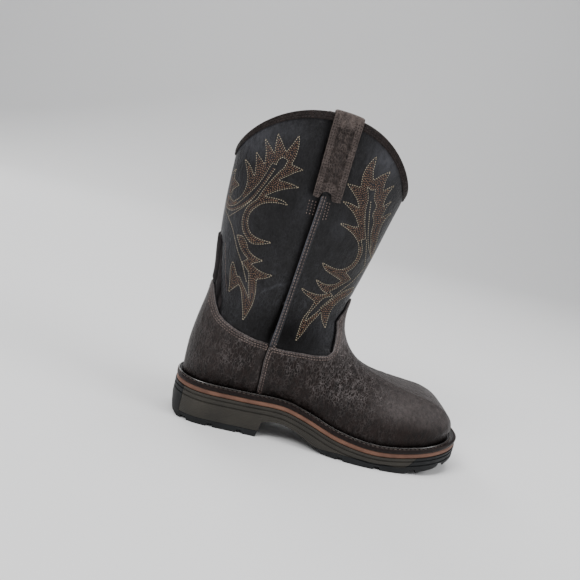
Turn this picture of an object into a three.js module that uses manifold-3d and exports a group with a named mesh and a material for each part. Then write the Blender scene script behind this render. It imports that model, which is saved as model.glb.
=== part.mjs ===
// Western work boot for the right foot: a pull-on boot with a square toe, a low block heel, a welted
// rubber sole and a tall shaft whose top is domed at the sides and dips at the front and the back.
// Millimetres. +X runs to the toe, +Y to the inner side of the foot, +Z up. The origin lies on the
// floor under the middle of the heel. Inside the file, x is counted from the back of the sole.
import * as THREE from "three";
import { mergeVertices } from "three/addons/utils/BufferGeometryUtils.js";
import Module from "manifold-3d";

const wasm = await Module();
wasm.setup();

// Driving dimensions of the sole
const soleLength = 299;
const ballWidth = 112;
const toeSwing = 7; // how far the tip of the toe leans to the inner side
const heelLug = 58; // from the back of the sole to the middle of the heel lug over the origin
const seatHeight = 41; // top of the welt above the floor, at the heel
const weltThickness = 4.2;
const stripeThickness = 4.6;
const treadThickness = 6.5;
const heelLength = 93;
const heelBreastSlant = 3;
const heelRake = 4; // how far the heel's lower back edge stands in from its top
const heelBevel = 6;
const heelRoundDepth = 40;
const toeRoundOuter = 52;
const toeRoundInner = 34;
const planSquareness = 2.35; // exponent of the rounded ends: 2 is an ellipse, more is squarer
const lugDepth = 3.2;
const lugGap = 5;
const wallRibDepth = 0.9;
const wallRibHeight = 1.3;

// Driving dimensions of the upper
const shaftHeight = 321; // top of the collar at the sides, above the floor
const collarRise = 56; // from the level of the front and back dips to that top
const shaftDepth = 88; // breadth of the shaft from side to side
const wall = 2.2;
const vampThickness = 1.7;
const counterThickness = 1.2;
const clearance = 0.3;
const weltReach = { heel: 6, side: 7.5, toe: 12 }; // width of welt that shows around the upper
const weltBand = 15; // full width of the welt ring
const ridgeWidth = 1.5;
const ridgeHeight = 1.4;
const strapWidth = 28;
const strapTaper = 1; // how much narrower a pull strap is at its lower end
const strapThickness = 2.2;
const strapDrop = 76; // outer leg of a pull strap, below the collar
const strapInnerDrop = 58;
const strapLoop = 2.2; // free height inside the loop, above the collar
const strapAlong = 0.345; // middle of the straps at the collar, as a share of the sole's length
const strapLean = 2.6; // how far back the lower end stands
const seamLapWidth = 6.5;
const seamLapThickness = 1.3;
const bindingDepth = 6.5;
const bindingThickness = 0.8;
const insoleThickness = 4;
const gussetRecess = 0.9;
const foldWidth = 5.5;
const foldPitch = 9;
const foldHeight = 1.5;

// Half breadths of the sole's plan, as shares of the ball width, at shares of the sole's length
const solePlan = [
  { at: 0.0, outer: 0.318, inner: 0.318 },
  { at: 0.14, outer: 0.338, inner: 0.332 },
  { at: 0.28, outer: 0.345, inner: 0.308 },
  { at: 0.4, outer: 0.365, inner: 0.284 },
  { at: 0.52, outer: 0.448, inner: 0.33 },
  { at: 0.64, outer: 0.52, inner: 0.425 },
  { at: 0.74, outer: 0.528, inner: 0.47 },
  { at: 0.86, outer: 0.48, inner: 0.472 },
  { at: 1.0, outer: 0.4, inner: 0.43 },
];

// Height of the welt's top, as a share of the seat height
const seatLine = [
  { at: 0.0, up: 1.03 },
  { at: 0.1, up: 1.0 },
  { at: 0.25, up: 1.0 },
  { at: 0.37, up: 1.01 },
  { at: 0.46, up: 0.87 },
  { at: 0.56, up: 0.66 },
  { at: 0.68, up: 0.56 },
  { at: 0.78, up: 0.6 },
  { at: 0.9, up: 0.74 },
  { at: 1.0, up: 0.88 },
];

// Underside of the sole in front of the heel, at shares of the length and of the seat height
const underLine = [
  { at: 0.32, up: 0.42 },
  { at: 0.37, up: 0.46 },
  { at: 0.43, up: 0.36 },
  { at: 0.5, up: 0.13 },
  { at: 0.555, up: 0.015 },
  { at: 0.585, up: 0.0 },
  { at: 0.61, up: 0.0 },
  { at: 0.74, up: 0.0 },
  { at: 0.78, up: 0.0 },
  { at: 0.84, up: 0.07 },
  { at: 0.93, up: 0.24 },
  { at: 1.0, up: 0.4 },
];

// Back of the upper, from the welt to the collar: height as a share of the shaft height, and how far
// it stands in from the back of the sole, as a share of the sole's length
const backLine = [
  { up: 0.132, in: 0.0205 },
  { up: 0.18, in: 0.0195 },
  { up: 0.24, in: 0.0215 },
  { up: 0.31, in: 0.031 },
  { up: 0.39, in: 0.0455 },
  { up: 0.46, in: 0.0505 },
  { up: 0.55, in: 0.04 },
  { up: 0.68, in: 0.031 },
  { up: 0.836, in: 0.03 },
];

// Front of the upper, from the toe to the collar. round is how deep the surface still turns inwards
// behind this line, as a share of the ball width, and square is the exponent of that rounding.
const frontLine = [
  { along: 0.96, up: 0.117, round: 0.28, square: 2.5 },
  { along: 0.958, up: 0.148, round: 0.28, square: 2.5 },
  { along: 0.94, up: 0.18, round: 0.29, square: 2.4 },
  { along: 0.906, up: 0.208, round: 0.31, square: 2.35 },
  { along: 0.855, up: 0.227, round: 0.34, square: 2.3 },
  { along: 0.795, up: 0.235, round: 0.38, square: 2.2 },
  { along: 0.718, up: 0.243, round: 0.42, square: 2.1 },
  { along: 0.643, up: 0.255, round: 0.46, square: 2.05 },
  { along: 0.59, up: 0.276, round: 0.5, square: 2.0 },
  { along: 0.548, up: 0.312, round: 0.54, square: 2.0 },
  { along: 0.518, up: 0.362, round: 0.58, square: 2.0 },
  { along: 0.508, up: 0.414, round: 0.6, square: 2.0 },
  { along: 0.513, up: 0.47, round: 0.62, square: 2.0 },
  { along: 0.531, up: 0.54, round: 0.66, square: 2.0 },
  { along: 0.554, up: 0.63, round: 0.7, square: 2.05 },
  { along: 0.575, up: 0.72, round: 0.73, square: 2.1 },
  { along: 0.593, up: 0.79, round: 0.75, square: 2.1 },
  { along: 0.6, up: 0.82, round: 0.76, square: 2.1 },
];

// Full half breadth of the upper over the foot, as shares of the ball width
const footPlan = [
  { at: 0.0, outer: 0.3, inner: 0.295 },
  { at: 0.15, outer: 0.318, inner: 0.308 },
  { at: 0.32, outer: 0.33, inner: 0.3 },
  { at: 0.48, outer: 0.385, inner: 0.335 },
  { at: 0.62, outer: 0.442, inner: 0.405 },
  { at: 0.72, outer: 0.455, inner: 0.44 },
  { at: 0.85, outer: 0.425, inner: 0.445 },
  { at: 1.0, outer: 0.37, inner: 0.41 },
];

// Half breadth of the shaft, and depth of its rounding at the back as a share of the ball width
const shaftPlan = [
  { up: 0.12, half: 0.38, round: 0.34 },
  { up: 0.3, half: 0.43, round: 0.36 },
  { up: 0.42, half: 0.455, round: 0.5 },
  { up: 0.6, half: 0.49, round: 0.64 },
  { up: 0.8, half: 0.5, round: 0.72 },
  { up: 1.0, half: 0.48, round: 0.74 },
];

// Where each level line of the upper ends at the front and at the back, as shares of those two lines
const levelFan = [
  { front: 0.0, back: 0.0 },
  { front: 0.15, back: 0.035 },
  { front: 0.4, back: 0.11 },
  { front: 0.52, back: 0.3 },
  { front: 0.62, back: 0.46 },
  { front: 0.8, back: 0.72 },
  { front: 1.0, back: 1.0 },
];

const levels = 22;
const backSteps = 6;
const frontSteps = 11;
const halfSteps = backSteps + frontSteps;
const around = 2 * halfSteps;

// Side seam: where it stands at shares of the shaft height
const seamLine = [
  { up: 0.1, along: 0.2735 },
  { up: 0.2, along: 0.271 },
  { up: 0.3, along: 0.2765 },
  { up: 0.36, along: 0.2837 },
  { up: 0.475, along: 0.293 },
  { up: 0.63, along: 0.306 },
  { up: 0.77, along: 0.318 },
  { up: 1.0, along: 0.326 },
];

// Upper edge of the vamp, from the welt up the side seam, forwards and up to its tongue in front
const vampEdge = [
  { along: 0.2745, up: 0.08 },
  { along: 0.2735, up: 0.14 },
  { along: 0.2705, up: 0.245 },
  { along: 0.2757, up: 0.2905 },
  { along: 0.329, up: 0.2898 },
  { along: 0.3955, up: 0.2925 },
  { along: 0.4296, up: 0.2922 },
  { along: 0.469, up: 0.2964 },
  { along: 0.4855, up: 0.3097 },
  { along: 0.4873, up: 0.3462 },
  { along: 0.4855, up: 0.3706 },
  { along: 0.4783, up: 0.3995 },
  { along: 0.4875, up: 0.4176 },
  { along: 0.5, up: 0.4358 },
  { along: 0.5058, up: 0.458 },
  { along: 0.516, up: 0.4734 },
];
// Upper edge of the counter, from the back of the heel forwards and down the side seam
const counterEdge = [
  { along: -0.05, up: 0.43 },
  { along: 0.05, up: 0.428 },
  { along: 0.0577, up: 0.424 },
  { along: 0.0653, up: 0.4027 },
  { along: 0.0782, up: 0.3753 },
  { along: 0.095, up: 0.3503 },
  { along: 0.1173, up: 0.3364 },
  { along: 0.1545, up: 0.3212 },
  { along: 0.19, up: 0.3105 },
  { along: 0.2256, up: 0.3022 },
  { along: 0.2738, up: 0.2985 },
  { along: 0.2688, up: 0.245 },
  { along: 0.2718, up: 0.14 },
  { along: 0.2728, up: 0.08 },
];
// Folded panel in the back of the shaft: its half breadth, as a share of the shaft's depth
const gussetEdge = [
  { half: 0.325, up: 0.345 },
  { half: 0.302, up: 0.388 },
  { half: 0.216, up: 0.458 },
  { half: 0.193, up: 0.502 },
  { half: 0.175, up: 0.553 },
  { half: 0.118, up: 0.575 },
  { half: 0.045, up: 0.584 },
];
// Lower end of a pull strap across its width: two lobes beside a notch for the seam
const strapEnd = [
  { across: -1, rise: 0 },
  { across: -0.58, rise: -1 },
  { across: -0.42, rise: 4 },
  { across: -0.08, rise: 6 },
  { across: 0.26, rise: 4 },
  { across: 0.42, rise: -1 },
  { across: 1, rise: 0 },
];

// A smooth curve through the rows of a table: value of one column at a place in another
function through(rows, place, column) {
  const n = rows.length;
  const slope = rows.map((row, k) => {
    const a = rows[Math.max(k - 1, 0)];
    const b = rows[Math.min(k + 1, n - 1)];
    return (b[column] - a[column]) / (b[place] - a[place]);
  });
  return (x) => {
    if (x <= rows[0][place]) return rows[0][column];
    if (x >= rows[n - 1][place]) return rows[n - 1][column];
    let k = 0;
    while (x > rows[k + 1][place]) k++;
    const span = rows[k + 1][place] - rows[k][place];
    const t = (x - rows[k][place]) / span;
    const s = 1 - t;
    return (
      rows[k][column] * s * s * (1 + 2 * t) +
      rows[k + 1][column] * t * t * (3 - 2 * t) +
      slope[k] * span * t * s * s -
      slope[k + 1] * span * t * t * s
    );
  };
}

const mix = (a, b, t) => a + (b - a) * t;
const ease = (t) => {
  const c = Math.min(Math.max(t, 0), 1);
  return c * c * (3 - 2 * c);
};
// 0 at the rim of a rounded end, 1 from its full depth on
const rounding = (depth, power) => {
  const c = 1 - Math.min(Math.max(depth, 0), 1);
  return Math.pow(1 - Math.pow(c, power), 1 / power);
};

const planOuter = through(solePlan, "at", "outer");
const planInner = through(solePlan, "at", "inner");
const seatUp = through(seatLine, "at", "up");
const underUp = through(underLine, "at", "up");
const seatZ = (x) => seatUp(x / soleLength) * seatHeight;
const centreY = (x) => toeSwing * Math.pow(x / soleLength, 2);

// Plan outline of the sole, drawn in from its edge by an inset at heel, sides and toe
function outlineBreadth(side, x, inset) {
  const outer = side === "outer";
  const full = (outer ? planOuter : planInner)(x / soleLength) * ballWidth - inset.side;
  const toeRound = outer ? toeRoundOuter : toeRoundInner;
  const fromHeel = (x - inset.heel) / (heelRoundDepth - inset.heel);
  const fromToe = (soleLength - inset.toe - x) / (toeRound - inset.toe);
  return full * rounding(fromHeel, planSquareness) * rounding(fromToe, planSquareness);
}
// Stations along the sole: close together in the rounded ends, shared by all layers in between
const endSteps = 5;
const midSteps = 10;
const midFrom = 46;
const midTo = soleLength - 56;
function stations(first, last) {
  const xs = [];
  for (let k = 0; k < endSteps; k++) {
    xs.push(mix(first, midFrom, 1 - Math.cos((Math.PI / 2) * (k / endSteps))));
  }
  for (let k = 0; k < midSteps; k++) xs.push(mix(midFrom, midTo, k / midSteps));
  for (let k = 0; k <= endSteps; k++) {
    xs.push(mix(midTo, last, Math.sin((Math.PI / 2) * (k / endSteps))));
  }
  return xs;
}
function outlinePoints(inset) {
  const xs = stations(inset.heel, soleLength - inset.toe);
  const outer = xs.map((x) => new THREE.Vector2(x, centreY(x) - outlineBreadth("outer", x, inset)));
  const inner = xs.slice(1, -1).map((x) => new THREE.Vector2(x, centreY(x) + outlineBreadth("inner", x, inset)));
  return [...outer, ...inner.reverse()];
}
const evenInset = (d) => ({ heel: d, side: d, toe: d });
// Insets counted outwards from the feather line, where the upper meets the welt
const featherInset = (out) => ({
  heel: weltReach.heel - out,
  side: weltReach.side - out,
  toe: weltReach.toe - out,
});

// Solids from closed geometries, and back
function solidOf(geometry) {
  geometry.deleteAttribute("normal");
  geometry.deleteAttribute("uv");
  const merged = mergeVertices(geometry, 1e-4);
  return new wasm.Manifold(
    new wasm.Mesh({
      numProp: 3,
      vertProperties: new Float32Array(merged.attributes.position.array),
      triVerts: new Uint32Array(merged.index.array),
    }),
  );
}
function geometryOf(solid) {
  const mesh = solid.getMesh();
  const geometry = new THREE.BufferGeometry();
  geometry.setAttribute("position", new THREE.BufferAttribute(new Float32Array(mesh.vertProperties), 3));
  geometry.setIndex(new THREE.BufferAttribute(new Uint32Array(mesh.triVerts), 1));
  geometry.computeVertexNormals();
  return geometry;
}

// A prism over a plan outline, standing from low to high
function planPrism(inset, low = -20, high = 80) {
  const shape = new THREE.Shape(outlinePoints(inset));
  const geometry = new THREE.ExtrudeGeometry(shape, { depth: high - low, bevelEnabled: false });
  geometry.translate(0, 0, low);
  return solidOf(geometry);
}
// A prism over an outline of the side view, running right across the boot
const reach = ballWidth * 0.8; // half length of the prisms that cut right across the boot
function sidePrism(points, low = -reach, high = reach) {
  const shape = new THREE.Shape(points.map(([x, z]) => new THREE.Vector2(x, z)));
  const geometry = new THREE.ExtrudeGeometry(shape, { depth: high - low, bevelEnabled: false });
  geometry.rotateX(Math.PI / 2);
  geometry.translate(0, high, 0);
  return solidOf(geometry);
}
// The side view of a layer that follows the seat line between two depths under the welt's top
const layerStations = [-2, ...stations(0, soleLength).slice(2, -2), soleLength + 2];
function layerPrism(from, to) {
  const xs = layerStations;
  const upper = xs.map((x) => [x, seatZ(x) + to]);
  const lower = xs.map((x) => [x, seatZ(x) + from]);
  return sidePrism([...lower, ...upper.reverse()]);
}
// A rib or groove all round the sole: a ring in plan, kept between two depths under the welt's top
function ringBand(outside, inside, from, to) {
  return planPrism(outside).subtract(planPrism(inside)).intersect(layerPrism(from, to));
}

// Welt: a ring with a stitched outer band, a groove and a raised ridge against the upper
function weltSolid() {
  const swell = 1.8; // room for the upper, which widens upwards from the feather line
  const ridgeOut = clearance + vampThickness + swell + ridgeWidth;
  const ring = ringBand(evenInset(0), evenInset(weltBand), -weltThickness, 0);
  const ridge = ringBand(featherInset(ridgeOut), featherInset(ridgeOut - ridgeWidth), -1, ridgeHeight);
  const grooveWidth = 0.9;
  const groove = ringBand(featherInset(ridgeOut + grooveWidth), featherInset(ridgeOut), -1, 1);
  return ring.add(ridge).subtract(groove);
}

// Stripe: the thin slab between welt and rubber that shows as a tan line
function stripeSolid() {
  const top = -weltThickness - clearance;
  return planPrism(evenInset(0.7)).intersect(layerPrism(top - stripeThickness, top));
}

// Rubber body under the stripe, in side view, with the lugs' gaps along its underside
const bodyTop = -(weltThickness + stripeThickness + 2 * clearance);
const lugGapsHeel = [0.055, 0.145, 0.245]; // centres as shares of the sole's length
const lugGapsFront = [0.585, 0.71, 0.835, 0.935];
function notched(points, centres, heightAt) {
  const out = [...points];
  for (const share of centres) {
    const x = share * soleLength;
    const z = heightAt(x);
    out.push([x - lugGap / 2 - 1, z], [x - lugGap / 2, z + lugDepth]);
    out.push([x + lugGap / 2, z + lugDepth], [x + lugGap / 2 + 1, z]);
  }
  return out.sort((a, b) => a[0] - b[0]);
}
function bodySide() {
  const heelEnds = [[heelRake + heelBevel, 0], [heelLength - heelBreastSlant, 0]];
  const heelUnder = notched(heelEnds, lugGapsHeel, () => 0);
  const underZ = (x) => Math.max(underUp(x / soleLength), 0) * seatHeight;
  const steps = 22;
  const firstShare = underLine[0].at;
  const curve = [];
  for (let k = 0; k <= steps; k++) {
    const x = mix(firstShare, 1, k / steps) * soleLength;
    const nearGap = lugGapsFront.some((share) => Math.abs(share * soleLength - x) < lugGap);
    if (!nearGap) curve.push([x, underZ(x)]);
  }
  const front = notched(curve, lugGapsFront, underZ);
  const end = [soleLength + 2, underZ(soleLength) + 0.8];
  const roof = [];
  for (const x of [...layerStations].reverse()) roof.push([x, seatZ(x) + bodyTop]);
  const breastTop = [heelLength, underUp(firstShare) * seatHeight - 1.5];
  const back = [[-0.4, heelBevel * 3.4], [heelRake * 0.45, heelBevel * 1.7], [heelRake, heelBevel * 0.6]];
  return [...back, ...heelUnder, breastTop, ...front, end, ...roof];
}
function bodySolid() {
  let body = sidePrism(bodySide()).intersect(planPrism(evenInset(0)));
  for (const depth of [2.2, 7]) {
    const top = bodyTop - depth;
    body = body.subtract(ringBand(evenInset(-1), evenInset(wallRibDepth), top - wallRibHeight, top));
  }
  return body;
}

// Side-view limits of the grey unit: it stops short of the toe, the back of the heel and the lugs
const toeWrap = 0.835;
const heelWrap = 0.036;
const treadFrom = 0.48; // where the front tread starts, as a share of the length
function unitSide(grow) {
  const lugTop = (x) => {
    const share = x / soleLength;
    if (x < heelLength) return treadThickness;
    return underUp(share) * seatHeight + treadThickness * ease((share - treadFrom) / 0.1);
  };
  const steps = 26;
  const first = heelWrap * soleLength - grow;
  const last = toeWrap * soleLength + grow;
  const under = [];
  for (let k = 0; k <= steps; k++) {
    const x = mix(first, last, k / steps);
    if (Math.abs(x - heelLength) > 6) under.push([x, lugTop(x) - grow]);
  }
  const beforeBreast = under.filter(([x]) => x < heelLength);
  const afterBreast = under.filter(([x]) => x > heelLength);
  const breast = [[heelLength + 3, treadThickness - grow], [heelLength + 5, treadThickness + 3]];
  return [...beforeBreast, ...breast, ...afterBreast, [last, 70], [first, 70]];
}

const rubber = bodySolid();
const unitSolid = rubber.intersect(sidePrism(unitSide(0)));
const blackSolid = rubber.subtract(sidePrism(unitSide(clearance)));

// Side view of the upper
const backIn = through(backLine, "up", "in");
const frontCurve = new THREE.CatmullRomCurve3(
  frontLine.map((row) => new THREE.Vector3(row.along * soleLength, 0, row.up * shaftHeight)),
  false,
  "centripetal",
);
const frontFine = 240;
const frontPath = frontCurve.getSpacedPoints(frontFine);
const frontRows = frontLine.map((row, k) => {
  const at = k / (frontLine.length - 1);
  return { at, round: row.round, square: row.square };
});
const frontRound = through(frontRows, "at", "round");
const frontSquare = through(frontRows, "at", "square");
const frontLengths = frontCurve.getLengths(400);
const frontTotal = frontLengths[400];
// Share of the table's rows passed at a share of the line's length
function rowShare(lengthShare) {
  const wanted = lengthShare * frontTotal;
  let k = 0;
  while (k < 399 && frontLengths[k + 1] < wanted) k++;
  const step = frontLengths[k + 1] - frontLengths[k];
  return (k + (wanted - frontLengths[k]) / step) / 400;
}
const rowAtFine = frontPath.map((_, k) => rowShare(k / frontFine));

// Distance from a point of the side view to the front line, and where along it the nearest point is
function nearestFront(x, z) {
  let best = Infinity;
  let at = 0;
  for (let k = 0; k < frontFine; k++) {
    const a = frontPath[k];
    const b = frontPath[k + 1];
    const dx = b.x - a.x;
    const dz = b.z - a.z;
    const t = Math.min(Math.max(((x - a.x) * dx + (z - a.z) * dz) / (dx * dx + dz * dz), 0), 1);
    const d = Math.hypot(x - a.x - dx * t, z - a.z - dz * t);
    if (d < best) {
      best = d;
      at = mix(rowAtFine[k], rowAtFine[k + 1], t);
    }
  }
  return { distance: best, at };
}

const footOuter = through(footPlan, "at", "outer");
const footInner = through(footPlan, "at", "inner");
const shaftHalf = through(shaftPlan, "up", "half");
const backRound = through(shaftPlan, "up", "round");
const ankleFrom = 0.25; // the foot's breadth fades into the shaft's between these shares of the height
const ankleTo = 0.5;
const featherBlend = 17; // height over which the upper swells from the feather line to its full breadth

// Half breadth of the upper at a point of the side view
function upperBreadth(side, x, z) {
  const up = z / shaftHeight;
  const share = x / soleLength;
  const foot = (side === "outer" ? footOuter : footInner)(share) * ballWidth;
  const full = mix(foot, shaftHalf(up) * shaftDepth, ease((up - ankleFrom) / (ankleTo - ankleFrom)));
  const near = nearestFront(x, z);
  const front = rounding(near.distance / (frontRound(near.at) * ballWidth), frontSquare(near.at));
  const behind = x - backIn(up) * soleLength;
  const back = rounding(behind / (backRound(up) * ballWidth), 2.1);
  const body = full * front * back;
  const feather = outlineBreadth(side, x, featherInset(0));
  const above = z - seatZ(x) - clearance;
  return mix(feather, body, ease(above / featherBlend));
}

// One level line of the side view: from the back of the upper to its front
const fanBack = through(levelFan, "front", "back");
const backFoot = backLine[0].up;
const backTop = backLine[backLine.length - 1].up;
const featherHeel = weltReach.heel;
const featherToe = soleLength - weltReach.toe;
const seamAlong = through(seamLine, "up", "along");
const sagFade = 0.42;
const domeFrom = 0.6;
function domeShape(share) {
  const across = Math.min(Math.abs(2 * share - 1), 1);
  return share < 0.5 ? Math.pow(1 - Math.pow(across, 2), 0.66) : Math.pow(1 - Math.pow(across, 2.5), 0.78);
}
function levelLine(level) {
  const share = Math.pow(level, 1.2);
  const front = frontCurve.getPointAt(share);
  const up = mix(backFoot, backTop, fanBack(share));
  const back = new THREE.Vector3(backIn(up) * soleLength, 0, up * shaftHeight);
  if (level === 0) {
    front.x = featherToe;
    back.x = featherHeel;
  }
  const foot = { back: backFoot * shaftHeight, front: frontLine[0].up * shaftHeight };
  const sag = Math.pow(Math.max(1 - share / sagFade, 0), 1.6);
  const dome = collarRise * ease((share - domeFrom) / (1 - domeFrom));
  return (t) => {
    const x = mix(back.x, front.x, t);
    const hang = seatZ(x) + clearance - mix(foot.back, foot.front, t);
    return [x, mix(back.z, front.z, t) + sag * hang + dome * domeShape(t)];
  };
}
// Share along a level line at which it meets the side seam
function seamShare(line) {
  let low = 0;
  let high = 1;
  for (let k = 0; k < 30; k++) {
    const t = (low + high) / 2;
    const [x, z] = line(t);
    if (x < seamAlong(z / shaftHeight) * soleLength) low = t;
    else high = t;
  }
  return low;
}
// Places along a level line: close together at both rounded ends, with one on the side seam
function shares(line) {
  const seam = seamShare(line);
  const out = [];
  for (let k = 0; k < backSteps; k++) out.push(seam * (1 - Math.cos((Math.PI / 2) * (k / backSteps))));
  for (let k = 0; k <= frontSteps; k++) {
    const left = 1 - Math.sin((Math.PI / 2) * (k / frontSteps));
    out.push(1 - (1 - seam) * Math.pow(left, 1.12));
  }
  return out;
}

// Grid of the upper's outer surface: rows are levels, each a ring from the back round the outer side
const grid = [];
for (let j = 0; j <= levels; j++) {
  const line = levelLine(j / levels);
  const ts = shares(line);
  const ring = [];
  for (let i = 0; i < around; i++) {
    const k = i <= halfSteps ? i : around - i;
    const side = i <= halfSteps ? "outer" : "inner";
    const [x, z] = line(ts[k]);
    const end = k === 0 || k === halfSteps;
    const half = end ? 0 : upperBreadth(side, x, z);
    ring.push(new THREE.Vector3(x, centreY(x) + (side === "outer" ? -half : half), z));
  }
  grid.push(ring);
}
const normals = grid.map((ring, j) =>
  ring.map((point, i) => {
    const alongRing = ring[(i + 1) % around].clone().sub(ring[(i + around - 1) % around]);
    const above = grid[Math.min(j + 1, levels)][i];
    const below = grid[Math.max(j - 1, 0)][i];
    const normal = alongRing.cross(above.clone().sub(below));
    if (j === 0) normal.z = 0;
    return normal.normalize();
  }),
);
const offsetPoint = (j, i, d) => grid[j][i].clone().addScaledVector(normals[j][i], d);

// A closed geometry from rows of points: closed rings, or open strips
function closedGrid(rows, faces) {
  const positions = rows.flatMap((p) => [p.x, p.y, p.z]);
  const geometry = new THREE.BufferGeometry();
  geometry.setAttribute("position", new THREE.Float32BufferAttribute(positions, 3));
  geometry.setIndex(faces);
  return geometry;
}
// Shell of the upper between two distances outside its surface, trimmed to stand above the welt
const hem = 1.2; // extra length at the bottom, cut away again by the trimming
const underWelt = layerPrism(-12, clearance);
function shellSolid(outside, inside) {
  const points = [];
  for (const d of [outside, inside]) {
    for (let j = 0; j <= levels; j++) {
      for (let i = 0; i < around; i++) {
        const point = offsetPoint(j, i, d);
        if (j === 0) point.z -= hem;
        points.push(point);
      }
    }
  }
  const layer = (levels + 1) * around;
  const at = (s, j, i) => s * layer + j * around + (i % around);
  const faces = [];
  const quad = (a, b, c, d) => faces.push(a, b, c, a, c, d);
  for (let j = 0; j < levels; j++) {
    for (let i = 0; i < around; i++) {
      quad(at(0, j, i), at(0, j, i + 1), at(0, j + 1, i + 1), at(0, j + 1, i));
      quad(at(1, j, i), at(1, j + 1, i), at(1, j + 1, i + 1), at(1, j, i + 1));
    }
  }
  for (let i = 0; i < around; i++) {
    quad(at(0, 0, i), at(1, 0, i), at(1, 0, i + 1), at(0, 0, i + 1));
    quad(at(0, levels, i), at(0, levels, i + 1), at(1, levels, i + 1), at(1, levels, i));
  }
  return solidOf(closedGrid(points, faces)).subtract(underWelt);
}

// A solid from rings of points, each ring joined to the next; open chains are capped at both ends
function ringSolid(rings, closed) {
  const count = rings[0].length;
  const at = (j, i) => (j % rings.length) * count + (i % count);
  const faces = [];
  const quad = (a, b, c, d) => faces.push(a, b, c, a, c, d);
  for (let j = 0; j < (closed ? rings.length : rings.length - 1); j++) {
    for (let i = 0; i < count; i++) quad(at(j, i), at(j, i + 1), at(j + 1, i + 1), at(j + 1, i));
  }
  if (!closed) {
    const last = rings.length - 1;
    for (let i = 0; i < count / 2 - 1; i++) {
      const far = count - 1 - i;
      quad(at(0, i), at(0, far), at(0, far - 1), at(0, i + 1));
      quad(at(last, i), at(last, i + 1), at(last, far - 1), at(last, far));
    }
  }
  return solidOf(closedGrid(rings.flat(), faces));
}

const inSide = (row) => [row.along * soleLength, row.up * shaftHeight];
const full = shellSolid(0, -wall);

// Side view of the counter, grown upwards and forwards by a gap
function counterPrism(gap) {
  const low = -seatHeight / 2;
  const edge = counterEdge.map(inSide).map(([x, z]) => [x + gap, z + gap]);
  return sidePrism([...edge, [edge[edge.length - 1][0], low], [edge[0][0], low]]);
}

// Folded panel at the back, in a recess of the shaft
function backPrism(points, low, high) {
  const shape = new THREE.Shape(points.map(([y, z]) => new THREE.Vector2(y, z)));
  const geometry = new THREE.ExtrudeGeometry(shape, { depth: high - low, bevelEnabled: false });
  geometry.rotateX(Math.PI / 2);
  geometry.rotateZ(Math.PI / 2);
  geometry.translate(low, 0, 0);
  return solidOf(geometry);
}
function gussetPrism(inset) {
  const right = gussetEdge.map((row, k) => {
    const lift = k === 0 ? inset : k === gussetEdge.length - 1 ? -inset : 0;
    return [row.half * shaftDepth - inset, row.up * shaftHeight + lift];
  });
  const left = right.map(([y, z]) => [-y, z]).reverse();
  return backPrism([...right, ...left], -20, 50);
}
function gussetSolid() {
  const panel = shellSolid(-gussetRecess + clearance + 0.6, -gussetRecess + clearance);
  let folds = null;
  for (const k of [-1, 0, 1]) {
    const from = k * foldPitch - foldWidth / 2;
    const points = [[from, 0], [from + foldWidth, 0], [from + foldWidth, shaftHeight], [from, shaftHeight]];
    const band = backPrism(points, -20, 50);
    folds = folds ? folds.add(band) : band;
  }
  const raised = shellSolid(foldHeight - gussetRecess + clearance, -gussetRecess + clearance + 0.3);
  const window = gussetPrism(clearance).subtract(counterPrism(2 * clearance));
  return panel.add(raised.intersect(folds)).intersect(window);
}
const recess = shellSolid(1, -gussetRecess).intersect(gussetPrism(0).subtract(counterPrism(clearance)));
const upperSolid = full.subtract(recess);

// Vamp and counter, cut from a thin shell over the upper
function vampSolid() {
  const rim = [[1.2, 0.52], [1.2, -0.1], [vampEdge[0].along, -0.1]].map(([a, u]) => [a * soleLength, u * shaftHeight]);
  const tongue = [0.62 * soleLength, 0.52 * shaftHeight];
  const region = sidePrism([...vampEdge.map(inSide), tongue, ...rim]);
  return shellSolid(clearance + vampThickness, clearance).intersect(region);
}
function counterSolid() {
  return shellSolid(clearance + counterThickness, clearance).intersect(counterPrism(0));
}

// Raised edge of the front panel along the side seam, from the vamp up to the pull strap's notch
const lapFrom = 0.2945;
const strapFoot = shaftHeight - strapDrop;
function seamLapSolid(low, high) {
  const lapTo = (strapFoot + 2.5) / shaftHeight;
  const steps = 7;
  const behind = [];
  const ahead = [];
  for (let k = 0; k <= steps; k++) {
    const up = mix(lapFrom, lapTo, k / steps);
    const x = seamAlong(up) * soleLength;
    behind.push([x, up * shaftHeight]);
    ahead.push([x + seamLapWidth, up * shaftHeight]);
  }
  const region = sidePrism([...ahead, ...behind.reverse()], low, high);
  return shellSolid(clearance + seamLapThickness, clearance).intersect(region);
}

// Binding folded over the collar, as a channel round the top
function bindingSolid() {
  const near = 1.4 * clearance;
  const far = near + bindingThickness;
  const section = [
    { out: far, up: -bindingDepth },
    { out: far, up: far },
    { out: -wall - far, up: far },
    { out: -wall - far, up: -bindingDepth },
    { out: -wall - near, up: -bindingDepth },
    { out: -wall - near, up: near },
    { out: near, up: near },
    { out: near, up: -bindingDepth },
  ].reverse();
  const rings = grid[levels].map((point, i) => {
    const rise = point.clone().sub(grid[levels - 1][i]).normalize();
    const out = normals[levels][i];
    return section.map((row) => point.clone().addScaledVector(out, row.out).addScaledVector(rise, row.up));
  });
  return ringSolid(rings, true);
}

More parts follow.
